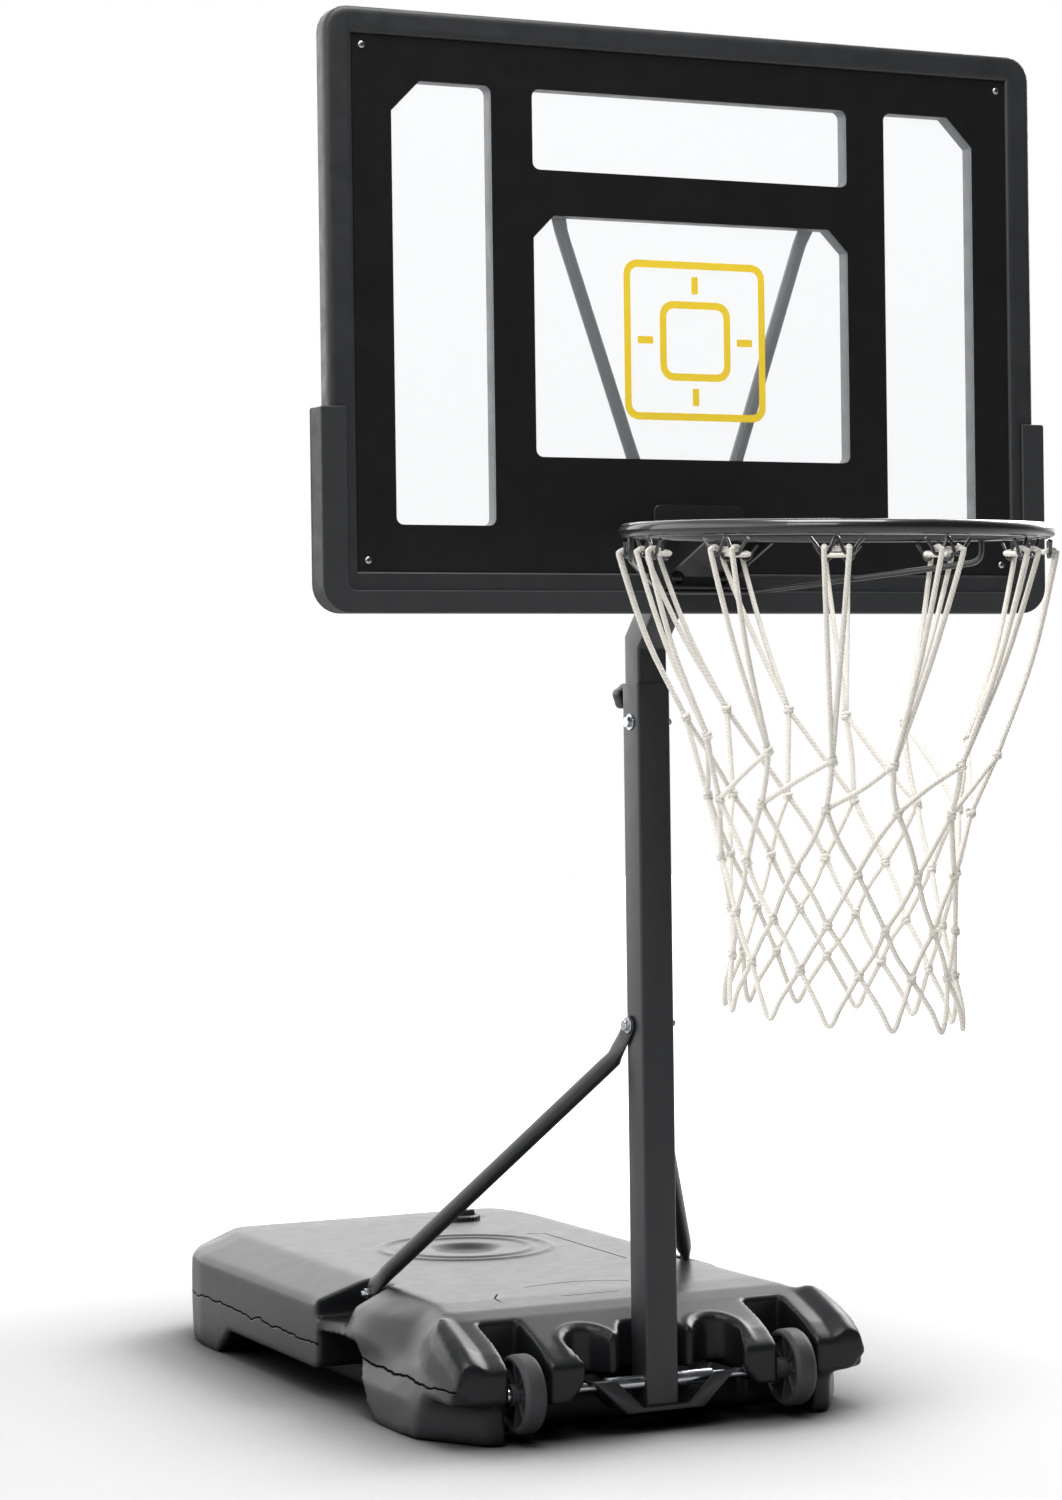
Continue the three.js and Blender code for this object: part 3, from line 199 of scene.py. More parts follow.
@dataclass(frozen=True)
class Finish:
    """A real material and how its surface was made.

    Attributes:
        slot: The record's slot that it belongs to.
        tint: Second colour of its slow variation, sRGB hex.
        roughness: Middle of its roughness.
        spread: How far the roughness strays either way.
        pattern: Size of the pattern.
        depth: Height of the pattern.
        coat: Weight of a clear top layer.
        clouds: Noise scale of the slow change in colour, per metre.
        smears: Noise scale of the slow change in gloss, per metre.
    """

    name: str
    slot: str
    colour: str
    tint: str
    roughness: float
    spread: float
    relief: Relief
    pattern: float
    depth: float
    metallic: float = 0.0
    ior: float = 1.5
    coat: float = 0.0
    alpha: float = 1.0
    coat_roughness: float = 0.06
    clouds: float = 14.0
    smears: float = 38.0

    def build(self) -> Material:
        """Make the material the first time it is asked for.

        Returns:
            The finish's one material.
        """
        known = bpy.data.materials.get(self.name)
        if known:
            return known
        material, tree, shader = blank(self.name)
        values = {
            "Metallic": self.metallic, "Alpha": self.alpha, "Coat Weight": self.coat,
            "Coat Roughness": self.coat_roughness,
        }
        if not self.metallic:
            values["IOR"] = self.ior
        fill(tree, shader, values)
        place = add_node(tree, "TexCoord").outputs["Object"]
        self.colour_and_gloss(tree, shader, place)
        self.surface(tree, shader, place)
        return material

    def colour_and_gloss(self, tree: Tree, shader: Node, place: Socket) -> None:
        """Vary the colour and the roughness slowly over the piece.

        Args:
            tree: The material's tree.
            shader: Its Principled shader.
            place: Object coordinates.
        """
        clouds = add_node(
            tree, "TexNoise", {"Vector": place, "Scale": self.clouds, "Detail": 5.0, "Roughness": 0.6},
        )
        mix = {"Factor": clouds, "A": linear(self.colour), "B": linear(self.tint)}
        colour = add_node(tree, "Mix", mix, data_type="RGBA").outputs["Result"]
        smears = add_node(
            tree, "TexNoise", {"Vector": place, "Scale": self.smears, "Detail": 6.0, "Distortion": 0.6},
        )
        low, high = self.roughness - self.spread, self.roughness + self.spread
        spread = {"Value": smears, "From Min": 0.3, "From Max": 0.7, "To Min": low, "To Max": high}
        fill(tree, shader, {"Base Color": colour, "Roughness": add_node(tree, "MapRange", spread)})

    def surface(self, tree: Tree, shader: Node, place: Socket) -> None:
        """Add the fine pattern as bump.

        Args:
            tree: The material's tree.
            shader: Its Principled shader.
            place: Object coordinates.
        """
        if self.relief is Relief.CLEAR:
            return
        peel = self.relief is Relief.ORANGE_PEEL
        kind, output = ("TexVoronoi", "Distance") if peel else ("TexNoise", "Fac")
        texture = add_node(tree, kind, {"Vector": place, "Scale": 1.0 / (self.pattern * MM)})
        bump = add_node(tree, "Bump", {"Height": texture.outputs[output], "Distance": self.depth * MM})
        fill(tree, shader, {"Normal": bump})


@dataclass(frozen=True)
class BlownSkin(Finish):
    """A blow-moulded skin with the mould's parting line and the grooves of its deck, both darkened with
    painted shade.

    Attributes:
        parting_from: The line fades in between these distances from the middle plane, in metres.
        steep: It fades in between these parts of the wall's normal along X.
        grooves: Straight pieces of the deck's grooves, as (x, y, x, y).
    """

    parting_height: float = 70.0
    parting_wander: float = 26.0
    parting_clouds: float = 16.0
    parting_from: Pair = (0.262, 0.27)
    steep: Pair = (0.6, 0.85)
    groove: float = 2.0
    groove_depth: float = 1.2
    # Near-black painted shade for the pressed grooves and the parting line
    groove_colour: str = "#0a0a0b"
    deck: float = 150.0
    grooves: tuple[tuple[float, float, float, float], ...] = (
        (133, 658, 154, 646), (154, 646, 151, 380), (-76, 221, -40, 230), (-40, 230, 2, 232),
        (2, 232, 40, 222), (40, 222, 66, 205), (-130, 187, -147, 158), (-147, 158, -150, 125),
        (-150, 125, -140, 98), (-62, 139, 19, 139),
    )

    def surface(self, tree: Tree, shader: Node, place: Socket) -> None:
        """Add the grain, press the parting line and the grooves into it, and darken them with painted shade.

        Args:
            tree: The material's tree.
            shader: Its Principled shader.
            place: Object coordinates.
        """
        super().surface(tree, shader, place)
        fine = shader.inputs["Normal"].links[0].from_socket
        lines = self.parting(tree, place)
        for piece in self.grooves:
            mark = self.straight(tree, place, piece)
            lines = add_node(tree, "Math", {0: lines, 1: mark}, operation="MAXIMUM").outputs[0]
        pressed = add_node(
            tree, "Bump", {"Height": lines, "Distance": self.groove_depth * MM, "Normal": fine}, invert=True,
        )
        # The lines' colour is darkened to a painted shade, as if they lay in shadow
        base = shader.inputs["Base Color"].links[0].from_socket
        mix = {"Factor": lines, "A": base, "B": linear(self.groove_colour)}
        colour = add_node(tree, "Mix", mix, data_type="RGBA").outputs["Result"]
        # The skin's reflections fall from 0.3 to nothing in a line
        dull = add_node(tree, "Math", {0: lines, 1: -0.3, 2: 0.3}, operation="MULTIPLY_ADD")
        fill(tree, shader, {"Normal": pressed, "Base Color": colour, "Specular IOR Level": dull})

    def parting(self, tree: Tree, place: Socket) -> Socket:
        """A thin wandering line at one height, on upright walls only.

        Args:
            tree: The material's tree.
            place: Object coordinates.

        Returns:
            1 on the line and 0 elsewhere.
        """
        split = add_node(tree, "SeparateXYZ", {"Vector": place})
        level = add_node(tree, "VectorMath", {0: place, 1: (1.0, 1.0, 0.0)}, operation="MULTIPLY")
        wander = add_node(tree, "TexNoise", {"Vector": level, "Scale": self.parting_clouds, "Detail": 4.0})
        shift = add_node(
            tree, "Math", {0: wander, 1: self.parting_wander * MM, 2: split.outputs["Z"]},
            operation="MULTIPLY_ADD",
        )
        middle = (self.parting_height + self.parting_wander / 2) * MM
        off = add_node(tree, "Math", {0: shift, 1: middle}, operation="SUBTRACT")
        line = self.thin(tree, add_node(tree, "Math", {0: off}, operation="ABSOLUTE"))
        normal = add_node(tree, "NewGeometry").outputs["Normal"]
        facing = add_node(tree, "SeparateXYZ", {"Vector": normal})
        for part, (start, end) in ((facing, self.steep), (split, self.parting_from)):
            size = add_node(tree, "Math", {0: part.outputs["X"]}, operation="ABSOLUTE")
            share = add_node(tree, "MapRange", {"Value": size, "From Min": start, "From Max": end})
            line = add_node(tree, "Math", {0: line, 1: share}, operation="MULTIPLY").outputs[0]
        return line

    def straight(self, tree: Tree, place: Socket, ends: tuple[float, float, float, float]) -> Socket:
        """One straight piece of a groove in the deck.

        Args:
            tree: The material's tree.
            place: Object coordinates.
            ends: The piece's two ends.

        Returns:
            1 on the groove and 0 elsewhere.
        """
        start = to_frame((ends[0], ends[1], self.deck))
        run = to_frame((ends[2], ends[3], self.deck)) - start
        away = add_node(tree, "VectorMath", {0: place, 1: start}, operation="SUBTRACT").outputs[0]
        share = add_node(tree, "VectorMath", {0: away, 1: run / run.length_squared}, operation="DOT_PRODUCT")
        held = add_node(tree, "Clamp", {"Value": share.outputs["Value"]})
        near = add_node(tree, "VectorMath", {0: run, "Scale": held}, operation="SCALE")
        gap = add_node(tree, "VectorMath", {0: away, 1: near}, operation="DISTANCE")
        return self.thin(tree, gap)

    def thin(self, tree: Tree, distance: Node) -> Socket:
        """Turn a distance into a thin line with soft sides.

        Args:
            tree: The material's tree.
            distance: The node that gives the distance.

        Returns:
            1 in the middle, 0 beyond the groove's half width.
        """
        half = self.groove * MM
        near = {"Value": distance.outputs["Value"], "From Min": half, "From Max": half * 0.4}
        return add_node(tree, "MapRange", near, interpolation_type="SMOOTHSTEP").outputs["Result"]


# Blow-moulded polyethylene: a soft satin skin that catches pale light at low angles
TANK_PLASTIC = BlownSkin(
    "blow moulded polyethylene", "tank", "#17181a", "#1c1d1f", 0.34, 0.02, Relief.GRAIN, 0.9, 0.02
)
CAP_PLASTIC = Finish(
    "moulded screw cap polyethylene", "cap", "#1b1c1e", "#222325", 0.42, 0.05, Relief.GRAIN, 0.8, 0.03
)
# Hard wheel polymer: dull, with a pale bloom where it has rolled
WHEEL_POLYMER = Finish(
    "rolled wheel polymer", "wheel", "#2a2b2d", "#3d3e40", 0.58, 0.10, Relief.GRAIN, 1.6, 0.09
)
# Bright zinc plate: a pale metal with slightly uneven gloss
ZINC = Finish(
    "bright zinc plate", "zinc", "#c4c7cb", "#aeb2b8", 0.24, 0.08, Relief.PLATED, 0.9, 0.01, metallic=1.0
)
# Powder coat on steel: satin black with a shallow orange peel
POWDER_COAT = Finish(
    "satin black powder coat", "steel", "#212224", "#27282a", 0.36, 0.05, Relief.ORANGE_PEEL, 1.8, 0.02
)
KNOB_PLASTIC = Finish("black nylon", "knob", "#151617", "#1c1d1e", 0.45, 0.06, Relief.GRAIN, 0.7, 0.03)
# Injection-moulded frame: fine grain, a little dusty
FRAME_PLASTIC = Finish(
    "injection moulded frame plastic", "frame", "#232426", "#2b2c2e", 0.46, 0.08, Relief.GRAIN, 0.9, 0.04
)
PAD_PLASTIC = Finish(
    "moulded guard plastic", "pad", "#242527", "#2c2d2f", 0.6, 0.07, Relief.GRAIN, 0.9, 0.04
)
# Clear acrylic: almost nothing but its gloss
ACRYLIC = Finish(
    "clear acrylic", "sheet", "#e4ebf0", "#dfe7ee", 0.05, 0.01, Relief.CLEAR, 1.0, 0.0, ior=1.49, alpha=0.09
)
# Screen ink seen through the acrylic: dense black under a clear, glossy front
SCREEN_INK = Finish(
    "black screen ink", "sheet", "#121213", "#171718", 0.34, 0.04, Relief.CLEAR, 1.0, 0.0, ior=1.45
)
TARGET_INK = Finish("yellow screen ink", "sheet", "#f6d63a", "#f2cf30", 0.45, 0.04, Relief.CLEAR, 1.0, 0.0)
# Enamel on the rim: hard gloss over a smooth black ground
ENAMEL = Finish(
    "gloss black enamel", "rim", "#161617", "#1c1d1e", 0.3, 0.04, Relief.ORANGE_PEEL, 2.2, 0.012, coat=0.7
)


@dataclass(frozen=True)
class Cotton:
    """Braided cotton cord: off-white yarns that twist round the cord, matt, with painted shade in the
    valleys between yarns, and stains in the same darker colour.

    Attributes:
        lay: Length of one turn of the twist, coarser than the real 2 mm so that it shows.
        depth: Height of a yarn's crown.
        glow: How far light goes into the cord.
    """

    name: str = "braided cotton"
    slot: str = "net"
    yarn: str = "#f2efe9"
    # Darker colour, used as painted shade in the twist's valleys and for random stains
    valley: str = "#dad5cc"
    lay: float = 5.0
    strands: float = 3.0
    depth: float = 0.35
    glow: float = 4.0

    def build(self) -> Material:
        """Make the material the first time it is asked for.

        Returns:
            The cord's one material.
        """
        known = bpy.data.materials.get(self.name)
        if known:
            return known
        material, tree, shader = blank(self.name)
        place = add_node(tree, "UVMap", uv_map="UVMap").outputs["UV"]
        split = add_node(tree, "SeparateXYZ", {"Vector": place})
        along = add_node(
            tree, "Math", {0: split.outputs["Y"], 1: 1.0 / (self.lay * MM)}, operation="MULTIPLY"
        )
        twist = add_node(
            tree, "Math", {0: split.outputs["X"], 1: self.strands, 2: along},
            operation="MULTIPLY_ADD",
        )
        angle = add_node(tree, "Math", {0: twist.outputs[0], 1: tau}, operation="MULTIPLY")
        wave = add_node(tree, "Math", {0: angle}, operation="SINE")
        height = add_node(tree, "MapRange", {"Value": wave, "From Min": -1.0, "From Max": 1.0})
        space = add_node(tree, "TexCoord").outputs["Object"]
        stain = add_node(tree, "TexNoise", {"Vector": space, "Scale": 55.0, "Detail": 4.0})
        share = add_node(tree, "Math", {0: height, 1: stain}, operation="MULTIPLY")
        # The darker colour paints shade into the twist's valleys, and stains where the noise is low
        mix = {"Factor": share, "A": linear(self.valley), "B": linear(self.yarn)}
        colour = add_node(tree, "Mix", mix, data_type="RGBA").outputs["Result"]
        bump = add_node(tree, "Bump", {"Height": height, "Distance": self.depth * MM})
        looks = {
            "Base Color": colour, "Normal": bump, "Roughness": 0.85, "Sheen Weight": 0.25,
            "Sheen Roughness": 0.5, "Specular IOR Level": 0.2, "Subsurface Weight": 0.35,
            "Subsurface Radius": (1.0, 1.0, 1.0), "Subsurface Scale": self.glow * MM,
        }
        fill(tree, shader, looks)
        return material


COTTON = Cotton()

# Shapes


def to_frame(point: Point) -> Vector:
    """Turn a place in millimetres into the frame's metres."""
    return Vector((point[0] * MM, (point[1] - AXIS_SHIFT) * MM, point[2] * MM))


def shade(mesh: Mesh) -> None:
    """Shade a mesh smooth, with its hard edges kept sharp."""
    mesh.shade_smooth()
    mesh.set_sharp_from_angle(angle=SHARP_ANGLE)


def linked(name: str, data: bpy.types.ID) -> Piece:
    """Make an object at the origin and put it in the scene.

    Args:
        name: The object's name.
        data: Its mesh, lamp or camera.

    Returns:
        The new object.
    """
    piece = bpy.data.objects.new(name, data)
    bpy.context.scene.collection.objects.link(piece)
    return piece


def mesh_piece(
    name: str, points: Iterable[Point], faces: list[list[int]], flat_faces: Iterable[int] = ()
) -> Piece:
    """Make an object at the origin from points.

    Args:
        name: The object's name.
        points: Places from the pole's axis.
        faces: Lists of point numbers.
        flat_faces: Numbers of the faces that stay flat where the rest is smooth.

    Returns:
        The new object, linked into the scene.
    """
    mesh = bpy.data.meshes.new(name)
    mesh.from_pydata([to_frame(point) for point in points], [], faces)
    mesh.validate()
    work = bmesh.new()
    work.from_mesh(mesh)
    bmesh.ops.recalc_face_normals(work, faces=work.faces)
    work.to_mesh(mesh)
    work.free()
    shade(mesh)
    for number in flat_faces:
        mesh.polygons[number].use_smooth = False
    return linked(name, mesh)


def fillet(corners: Sequence[Sequence[float]], steps: int = 5) -> Outline:
    """Round an outline's corners.

    Args:
        corners: Two coordinates and an optional radius for each corner.
        steps: Straight pieces for each rounded corner.

    Returns:
        The outline's points.
    """
    outline: Outline = []
    for index, corner in enumerate(corners):
        here = Vector(corner[:2])
        radius = corner[2] if len(corner) > 2 else 0.0
        before = (Vector(corners[index - 1][:2]) - here).normalized()
        after = (Vector(corners[(index + 1) % len(corners)][:2]) - here).normalized()
        half = before.angle(after) / 2
        if radius <= 0 or half > radians(89):
            outline.append((here.x, here.y))
            continue
        middle = here + (before + after).normalized() * (radius / sin(half))
        start = here + before * (radius / tan(half)) - middle
        sweep = start.angle_signed(here + after * (radius / tan(half)) - middle)
        for step in range(steps + 1):
            turned = Matrix.Rotation(-sweep * step / steps, 2) @ start
            outline.append((middle.x + turned.x, middle.y + turned.y))
    return outline


def rectangle(left: float, low: float, right: float, high: float, radius: float = 0.0) -> Outline:
    """A rectangle with rounded corners, as an outline."""
    return fillet([(left, low, radius), (right, low, radius), (right, high, radius), (left, high, radius)])


def square(half: float, radius: float) -> Outline:
    """A square about the middle with rounded corners."""
    return rectangle(-half, -half, half, half, radius)


def circle(x: float, z: float, radius: float, count: int = 24) -> Outline:
    """A circle as an outline."""
    turns = [tau * index / count for index in range(count)]
    return [(x + radius * cos(turn), z + radius * sin(turn)) for turn in turns]


def area(outline: Outline) -> float:
    """Signed area of an outline, above zero where it runs anticlockwise."""
    pairs = zip(outline, outline[1:] + outline[:1])
    return sum(a[0] * b[1] - b[0] * a[1] for a, b in pairs) / 2


def inset(outline: Outline, reach: float) -> Outline:
    """Move every point of an outline to its left by a distance.

    Args:
        outline: The outline to move.
        reach: The distance.

    Returns:
        The moved outline, with as many points.
    """
    moved: Outline = []
    count = len(outline)
    for index in range(count):
        before = Vector(outline[index]) - Vector(outline[index - 1])
        after = Vector(outline[(index + 1) % count]) - Vector(outline[index])
        into, out = before.normalized(), after.normalized()
        normal = Vector((-into.y - out.y, into.x + out.x))
        if normal.length < 1e-6:
            normal = Vector((-into.y, into.x))
        normal.normalize()
        stretch = max(normal.dot(Vector((-into.y, into.x))), 0.5)
        place = Vector(outline[index]) + normal * (reach / stretch)
        moved.append((place.x, place.y))
    return moved


def rounded_levels(front: float, back: float, radius: float, steps: int = 3) -> list[Pair]:
    """Levels of a plate with both rims rounded.

    Args:
        front: The front face's place along Y.
        back: The back face's place.
        radius: Radius of the rounding.
        steps: Straight pieces for each rounding.

    Returns:
        Pairs of a place along Y and an inset.
    """
    turns = [pi / 2 * step / steps for step in range(steps + 1)]
    near = [(front + radius * (1 - cos(turn)), radius * (1 - sin(turn))) for turn in turns]
    far = [(back - radius * (1 - cos(turn)), radius * (1 - sin(turn))) for turn in reversed(turns)]
    return near + far


def plate(name: str, outer: Outline, holes: list[Outline], levels: list[Pair]) -> Piece:
    """Make a plate across Y, with holes and shaped rims.

    Args:
        name: Its name.
        outer: Outline in X and Z.
        holes: Outlines of the holes.
        levels: Places along Y from front to back, each with the inset of the outlines there.

    Returns:
        The plate.
    """
    outlines = [outer if area(outer) > 0 else outer[::-1]]
    outlines += [hole if area(hole) < 0 else hole[::-1] for hole in holes]
    points: list[Spot] = []
    faces: list[list[int]] = []
    count = sum(len(outline) for outline in outlines)
    for y, reach in levels:
        for outline in outlines:
            points += [(x, y, z) for x, z in inset(outline, reach)]
    for level in range(len(levels) - 1):
        start = level * count
        for outline in outlines:
            size = len(outline)
            for index in range(size):
                a, b = start + index, start + (index + 1) % size
                faces.append([a, b, b + count, a + count])
            start += size
    walls = len(faces)
    for level in (0, len(levels) - 1):
        flat = [Vector((p[0], p[2], 0.0)) for p in points[level * count : (level + 1) * count]]
        loops, start = [], 0
        for outline in outlines:
            loops.append(flat[start : start + len(outline)])
            start += len(outline)
        faces += [[corner + level * count for corner in face] for face in tessellate_polygon(loops)]
    return mesh_piece(name, points, faces, range(walls, len(faces)))


def loft(name: str, rings: Sequence[Sequence[Point]], closed: bool = False) -> Piece:
    """Make a skin through rings with equal counts of points, closed at its ends.

    Args:
        name: Its name.
        rings: Rings of places.
        closed: Whether the last ring joins the first, as on a torus.

    Returns:
        The piece.
    """
    size = len(rings[0])
    points = [point for ring in rings for point in ring]
    faces = []
    spans = len(rings) if closed else len(rings) - 1
    for ring in range(spans):
        here, there = ring * size, ((ring + 1) % len(rings)) * size
        for index in range(size):
            after = (index + 1) % size
            faces.append([here + index, here + after, there + after, there + index])
    caps = []
    if not closed:
        caps = [len(faces), len(faces) + 1]
        faces.append(list(range(size))[::-1])
        faces.append([(len(rings) - 1) * size + index for index in range(size)])
    return mesh_piece(name, points, faces, caps)


def lathe(name: str, profile: Sequence[Pair], centre: Point, axis: str = "x", facets: int = 64) -> Piece:
    """Turn a profile round an axis.

    Args:
        name: Its name.
        profile: Pairs of a radius and a place along the axis, a closed loop unless both ends touch the axis.
        centre: The two coordinates across the axis, in the order of the axes.
        axis: The axis that it turns about.
        facets: Facets round.

    Returns:
        The turned piece.
    """
    rings = []
    for step in range(facets):
        turn = tau * step / facets
        ring = []
        for radius, along in profile:
            a, b = centre[0] + radius * cos(turn), centre[1] + radius * sin(turn)
            ring.append({"x": (along, a, b), "y": (a, along, b), "z": (a, b, along)}[axis])
        rings.append(ring)
    piece = loft(name, rings, closed=True)
    work = bmesh.new()
    work.from_mesh(piece.data)
    bmesh.ops.remove_doubles(work, verts=work.verts, dist=1e-6)
    bmesh.ops.dissolve_degenerate(work, edges=work.edges, dist=1e-7)
    bmesh.ops.recalc_face_normals(work, faces=work.faces)
    work.to_mesh(piece.data)
    work.free()
    shade(piece.data)
    return piece


def smooth_path(points: Sequence[Point], steps: int) -> list[Vector]:
    """Pass a smooth curve through points.

    Args:
        points: The places that the curve goes through.
        steps: Pieces between two of them.

    Returns:
        Points along the curve.
    """
    spots = [Vector(point) for point in points]
    ends = [spots[0] * 2 - spots[1], *spots, spots[-1] * 2 - spots[-2]]
    path = []
    for index in range(1, len(ends) - 2):
        a, b, c, d = ends[index - 1 : index + 3]
        for step in range(steps):
            t = step / steps
            square_part = (2 * a - 5 * b + 4 * c - d) * t**2
            cube_part = (3 * b - a - 3 * c + d) * t**3
            path.append(0.5 * (2 * b + (c - a) * t + square_part + cube_part))
    return [*path, spots[-1]]


def bend_path(points: Sequence[Point], radius: float, steps: int = 8) -> list[Vector]:
    """Round the corners of a path of straight pieces.

    Args:
        points: The path's corners.
        radius: How far before and after a corner the bend starts.
        steps: Pieces for each bend.

    Returns:
        Points along the rounded path.
    """
    spots = [Vector(point) for point in points]
    path = [spots[0]]
    for before, here, after in zip(spots, spots[1:], spots[2:]):
        start = here + (before - here).normalized() * min(radius, (before - here).length / 2)
        end = here + (after - here).normalized() * min(radius, (after - here).length / 2)
        for step in range(steps + 1):
            t = step / steps
            path.append(start * (1 - t) ** 2 + here * 2 * t * (1 - t) + end * t**2)
    return [*path, spots[-1]]


def tube_rings(path: Sequence[Vector], radius: float, sides: int) -> list[list[Vector]]:
    """Circles across a path, without twist.

    Args:
        path: Points along the middle.
        radius: The tube's radius.
        sides: Points in each circle.

    Returns:
        One ring for each point of the path.
    """
    rings = []
    across = None
    for index, here in enumerate(path):
        ahead = path[min(index + 1, len(path) - 1)]
        behind = path[max(index - 1, 0)]
        along = (ahead - behind).normalized()
        if across is None:
            across = along.orthogonal().normalized()
        across = (across - along * across.dot(along)).normalized()
        up = along.cross(across)
        turns = [tau * side / sides for side in range(sides)]
        rings.append([here + (across * cos(turn) + up * sin(turn)) * radius for turn in turns])
    return rings


def tube(name: str, path: Sequence[Vector], radius: float, sides: int = 12) -> Piece:
    """Make a round rod or cord with a cord map: X once round it, Y metres along it.

    Args:
        name: Its name.
        path: Points along its middle.
        radius: Its radius.
        sides: Its facets round.

    Returns:
        The rod.
    """
    piece = loft(name, tube_rings(path, radius, sides))
    lengths = [0.0]
    for before, here in zip(path, path[1:]):
        lengths.append(lengths[-1] + (here - before).length * MM)
    layer = piece.data.uv_layers.new(name="UVMap")
    for face in piece.data.polygons:
        corners = [divmod(piece.data.loops[loop].vertex_index, sides) for loop in face.loop_indices]
        wraps = any(side == 0 for _, side in corners) and any(side == sides - 1 for _, side in corners)
        for loop, (ring, side) in zip(face.loop_indices, corners):
            turn = sides if wraps and side == 0 else side
            layer.data[loop].uv = (turn / sides, lengths[ring])
    return piece


def merge(name: str, pieces: Sequence[Piece]) -> Piece:
    """Join pieces into one object, keeping every body whole.

    Args:
        name: The name of the result.
        pieces: The objects to join, which go away.

    Returns:
        The joined piece.
    """
    first = pieces[0]
    with bpy.context.temp_override(
        active_object=first, selected_editable_objects=list(pieces), selected_objects=list(pieces)
    ):
        bpy.ops.object.join()
    first.name = name
    first.data.name = name
    return first


def bake(piece: Piece) -> None:
    """Turn a piece's modifiers into plain mesh.

    Args:
        piece: The object with live modifiers.
    """
    graph = bpy.context.evaluated_depsgraph_get()
    mesh = bpy.data.meshes.new_from_object(piece.evaluated_get(graph))
    piece.modifiers.clear()
    old = piece.data
    piece.data = mesh
    bpy.data.meshes.remove(old)
    mesh.name = piece.name


def round_edges(piece: Piece, width: float) -> None:
    """Put a small bevel on a piece's hard edges.

    Args:
        piece: The piece.
        width: Width of the bevel.
    """
    bevel = piece.modifiers.new("rounding", "BEVEL")
    bevel.width = width * MM
    bevel.segments = 2
    bevel.limit_method = "ANGLE"
    bevel.angle_limit = radians(35)


def cut_out(piece: Piece, cutters: Sequence[Piece], rounding: float = 0.0) -> None:
    """Cut shapes out of a piece.

    Args:
        piece: The piece to cut.
        cutters: The shapes to take away, which go away themselves.
        rounding: Width of a bevel on the hard edges that are left.
    """
    for cutter in cutters:
        cut = piece.modifiers.new("opening", "BOOLEAN")
        cut.operation = "DIFFERENCE"
        cut.object = cutter
        cut.solver = "EXACT"
    if rounding:
        round_edges(piece, rounding)
    bake(piece)
    for cutter in cutters:
        bpy.data.objects.remove(cutter)
    shade(piece.data)


def pressed_ring(centre: Vector, across: Vector, through: Vector, size: Pair, power: float) -> list[Vector]:
    """A ring across a tube that is round or pressed flat.

    Args:
        centre: The ring's middle.
        across: The way along its wide side.
        through: The way along its thin side.
        size: Half its width and half its thickness.
        power: 1 for an ellipse, less for squarer sides.

    Returns:
        The ring's points.
    """
    ring = []
    for step in range(32):
        turn = tau * step / 32
        c, s = cos(turn), sin(turn)
        a = copysign(abs(c) ** power, c) * size[0]
        b = copysign(abs(s) ** power, s) * size[1]
        ring.append(centre + across * a + through * b)
    return ring


def mirror(points: Iterable[Vector], side: Side) -> list[Vector]:
    """Points of the right side, set on either side."""
    return [Vector((side.value * point.x, point.y, point.z)) for point in points]


def dress(piece: Piece, finish: Finish | Cotton, body: Body, *nodes: str) -> None:
    """Give a piece its material, its body and the nodes that it stands for.

    Args:
        piece: A finished piece.
        finish: Its material.
        body: The body that it moves with.
        *nodes: The nodes that it replaces.
    """
    if not piece.data.materials:
        piece.data.materials.append(finish.build())
    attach(piece, body)
    if nodes:
        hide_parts(*nodes)
    LOG.info("%s on %s", piece.name, body)


class Repeater:
    """A Geometry Nodes tree that sets one pattern at many turned places."""

    def __init__(self) -> None:
        """Build the tree once."""
        tree = bpy.data.node_groups.new("set along places", "GeometryNodeTree")
        face = tree.interface
        face.new_socket("Places", in_out="INPUT", socket_type="NodeSocketGeometry")
        self.pattern = face.new_socket("Pattern", in_out="INPUT", socket_type="NodeSocketObject")
        self.material = face.new_socket("Material", in_out="INPUT", socket_type="NodeSocketMaterial")
        face.new_socket("Pieces", in_out="OUTPUT", socket_type="NodeSocketGeometry")
        given = add_node(tree, "NodeGroupInput").outputs
        shape = add_node(tree, "ObjectInfo", {"Object": given["Pattern"]})
        turn = add_node(tree, "InputNamedAttribute", {"Name": "turn"}, data_type="FLOAT_VECTOR")
        points = add_node(tree, "MeshToPoints", {"Mesh": given["Places"]})
        pattern = {"Points": points, "Instance": shape.outputs["Geometry"], "Rotation": turn}
        copies = add_node(tree, "InstanceOnPoints", pattern)
        real = add_node(tree, "RealizeInstances", {"Geometry": copies})
        dressed = add_node(tree, "SetMaterial", {"Geometry": real, "Material": given["Material"]})
        add_node(tree, "NodeGroupOutput", {"Pieces": dressed})
        self.tree = tree

    def spread(
        self, name: str, pattern: Piece, places: Sequence[tuple[Vector, Spot]], finish: Finish | Cotton
    ) -> Piece:
        """Set copies of a pattern and bake them into one mesh.

        Args:
            name: The name of the result.
            pattern: The shape to copy, in metres about the origin, which goes away.
            places: Each copy's place in the frame and its turn as Euler angles.
            finish: The copies' material.

        Returns:
            One mesh with every copy.
        """
        mesh = bpy.data.meshes.new(name)
        mesh.from_pydata([place for place, _ in places], [], [])
        layer = mesh.attributes.new("turn", "FLOAT_VECTOR", "POINT")
        for index, (_, turn) in enumerate(places):
            layer.data[index].vector = turn
        piece = linked(name, mesh)
        modifier = piece.modifiers.new("set along places", "NODES")
        modifier.node_group = self.tree
        modifier[self.pattern.identifier] = pattern
        modifier[self.material.identifier] = finish.build()
        bake(piece)
        bpy.data.objects.remove(pattern)
        return piece


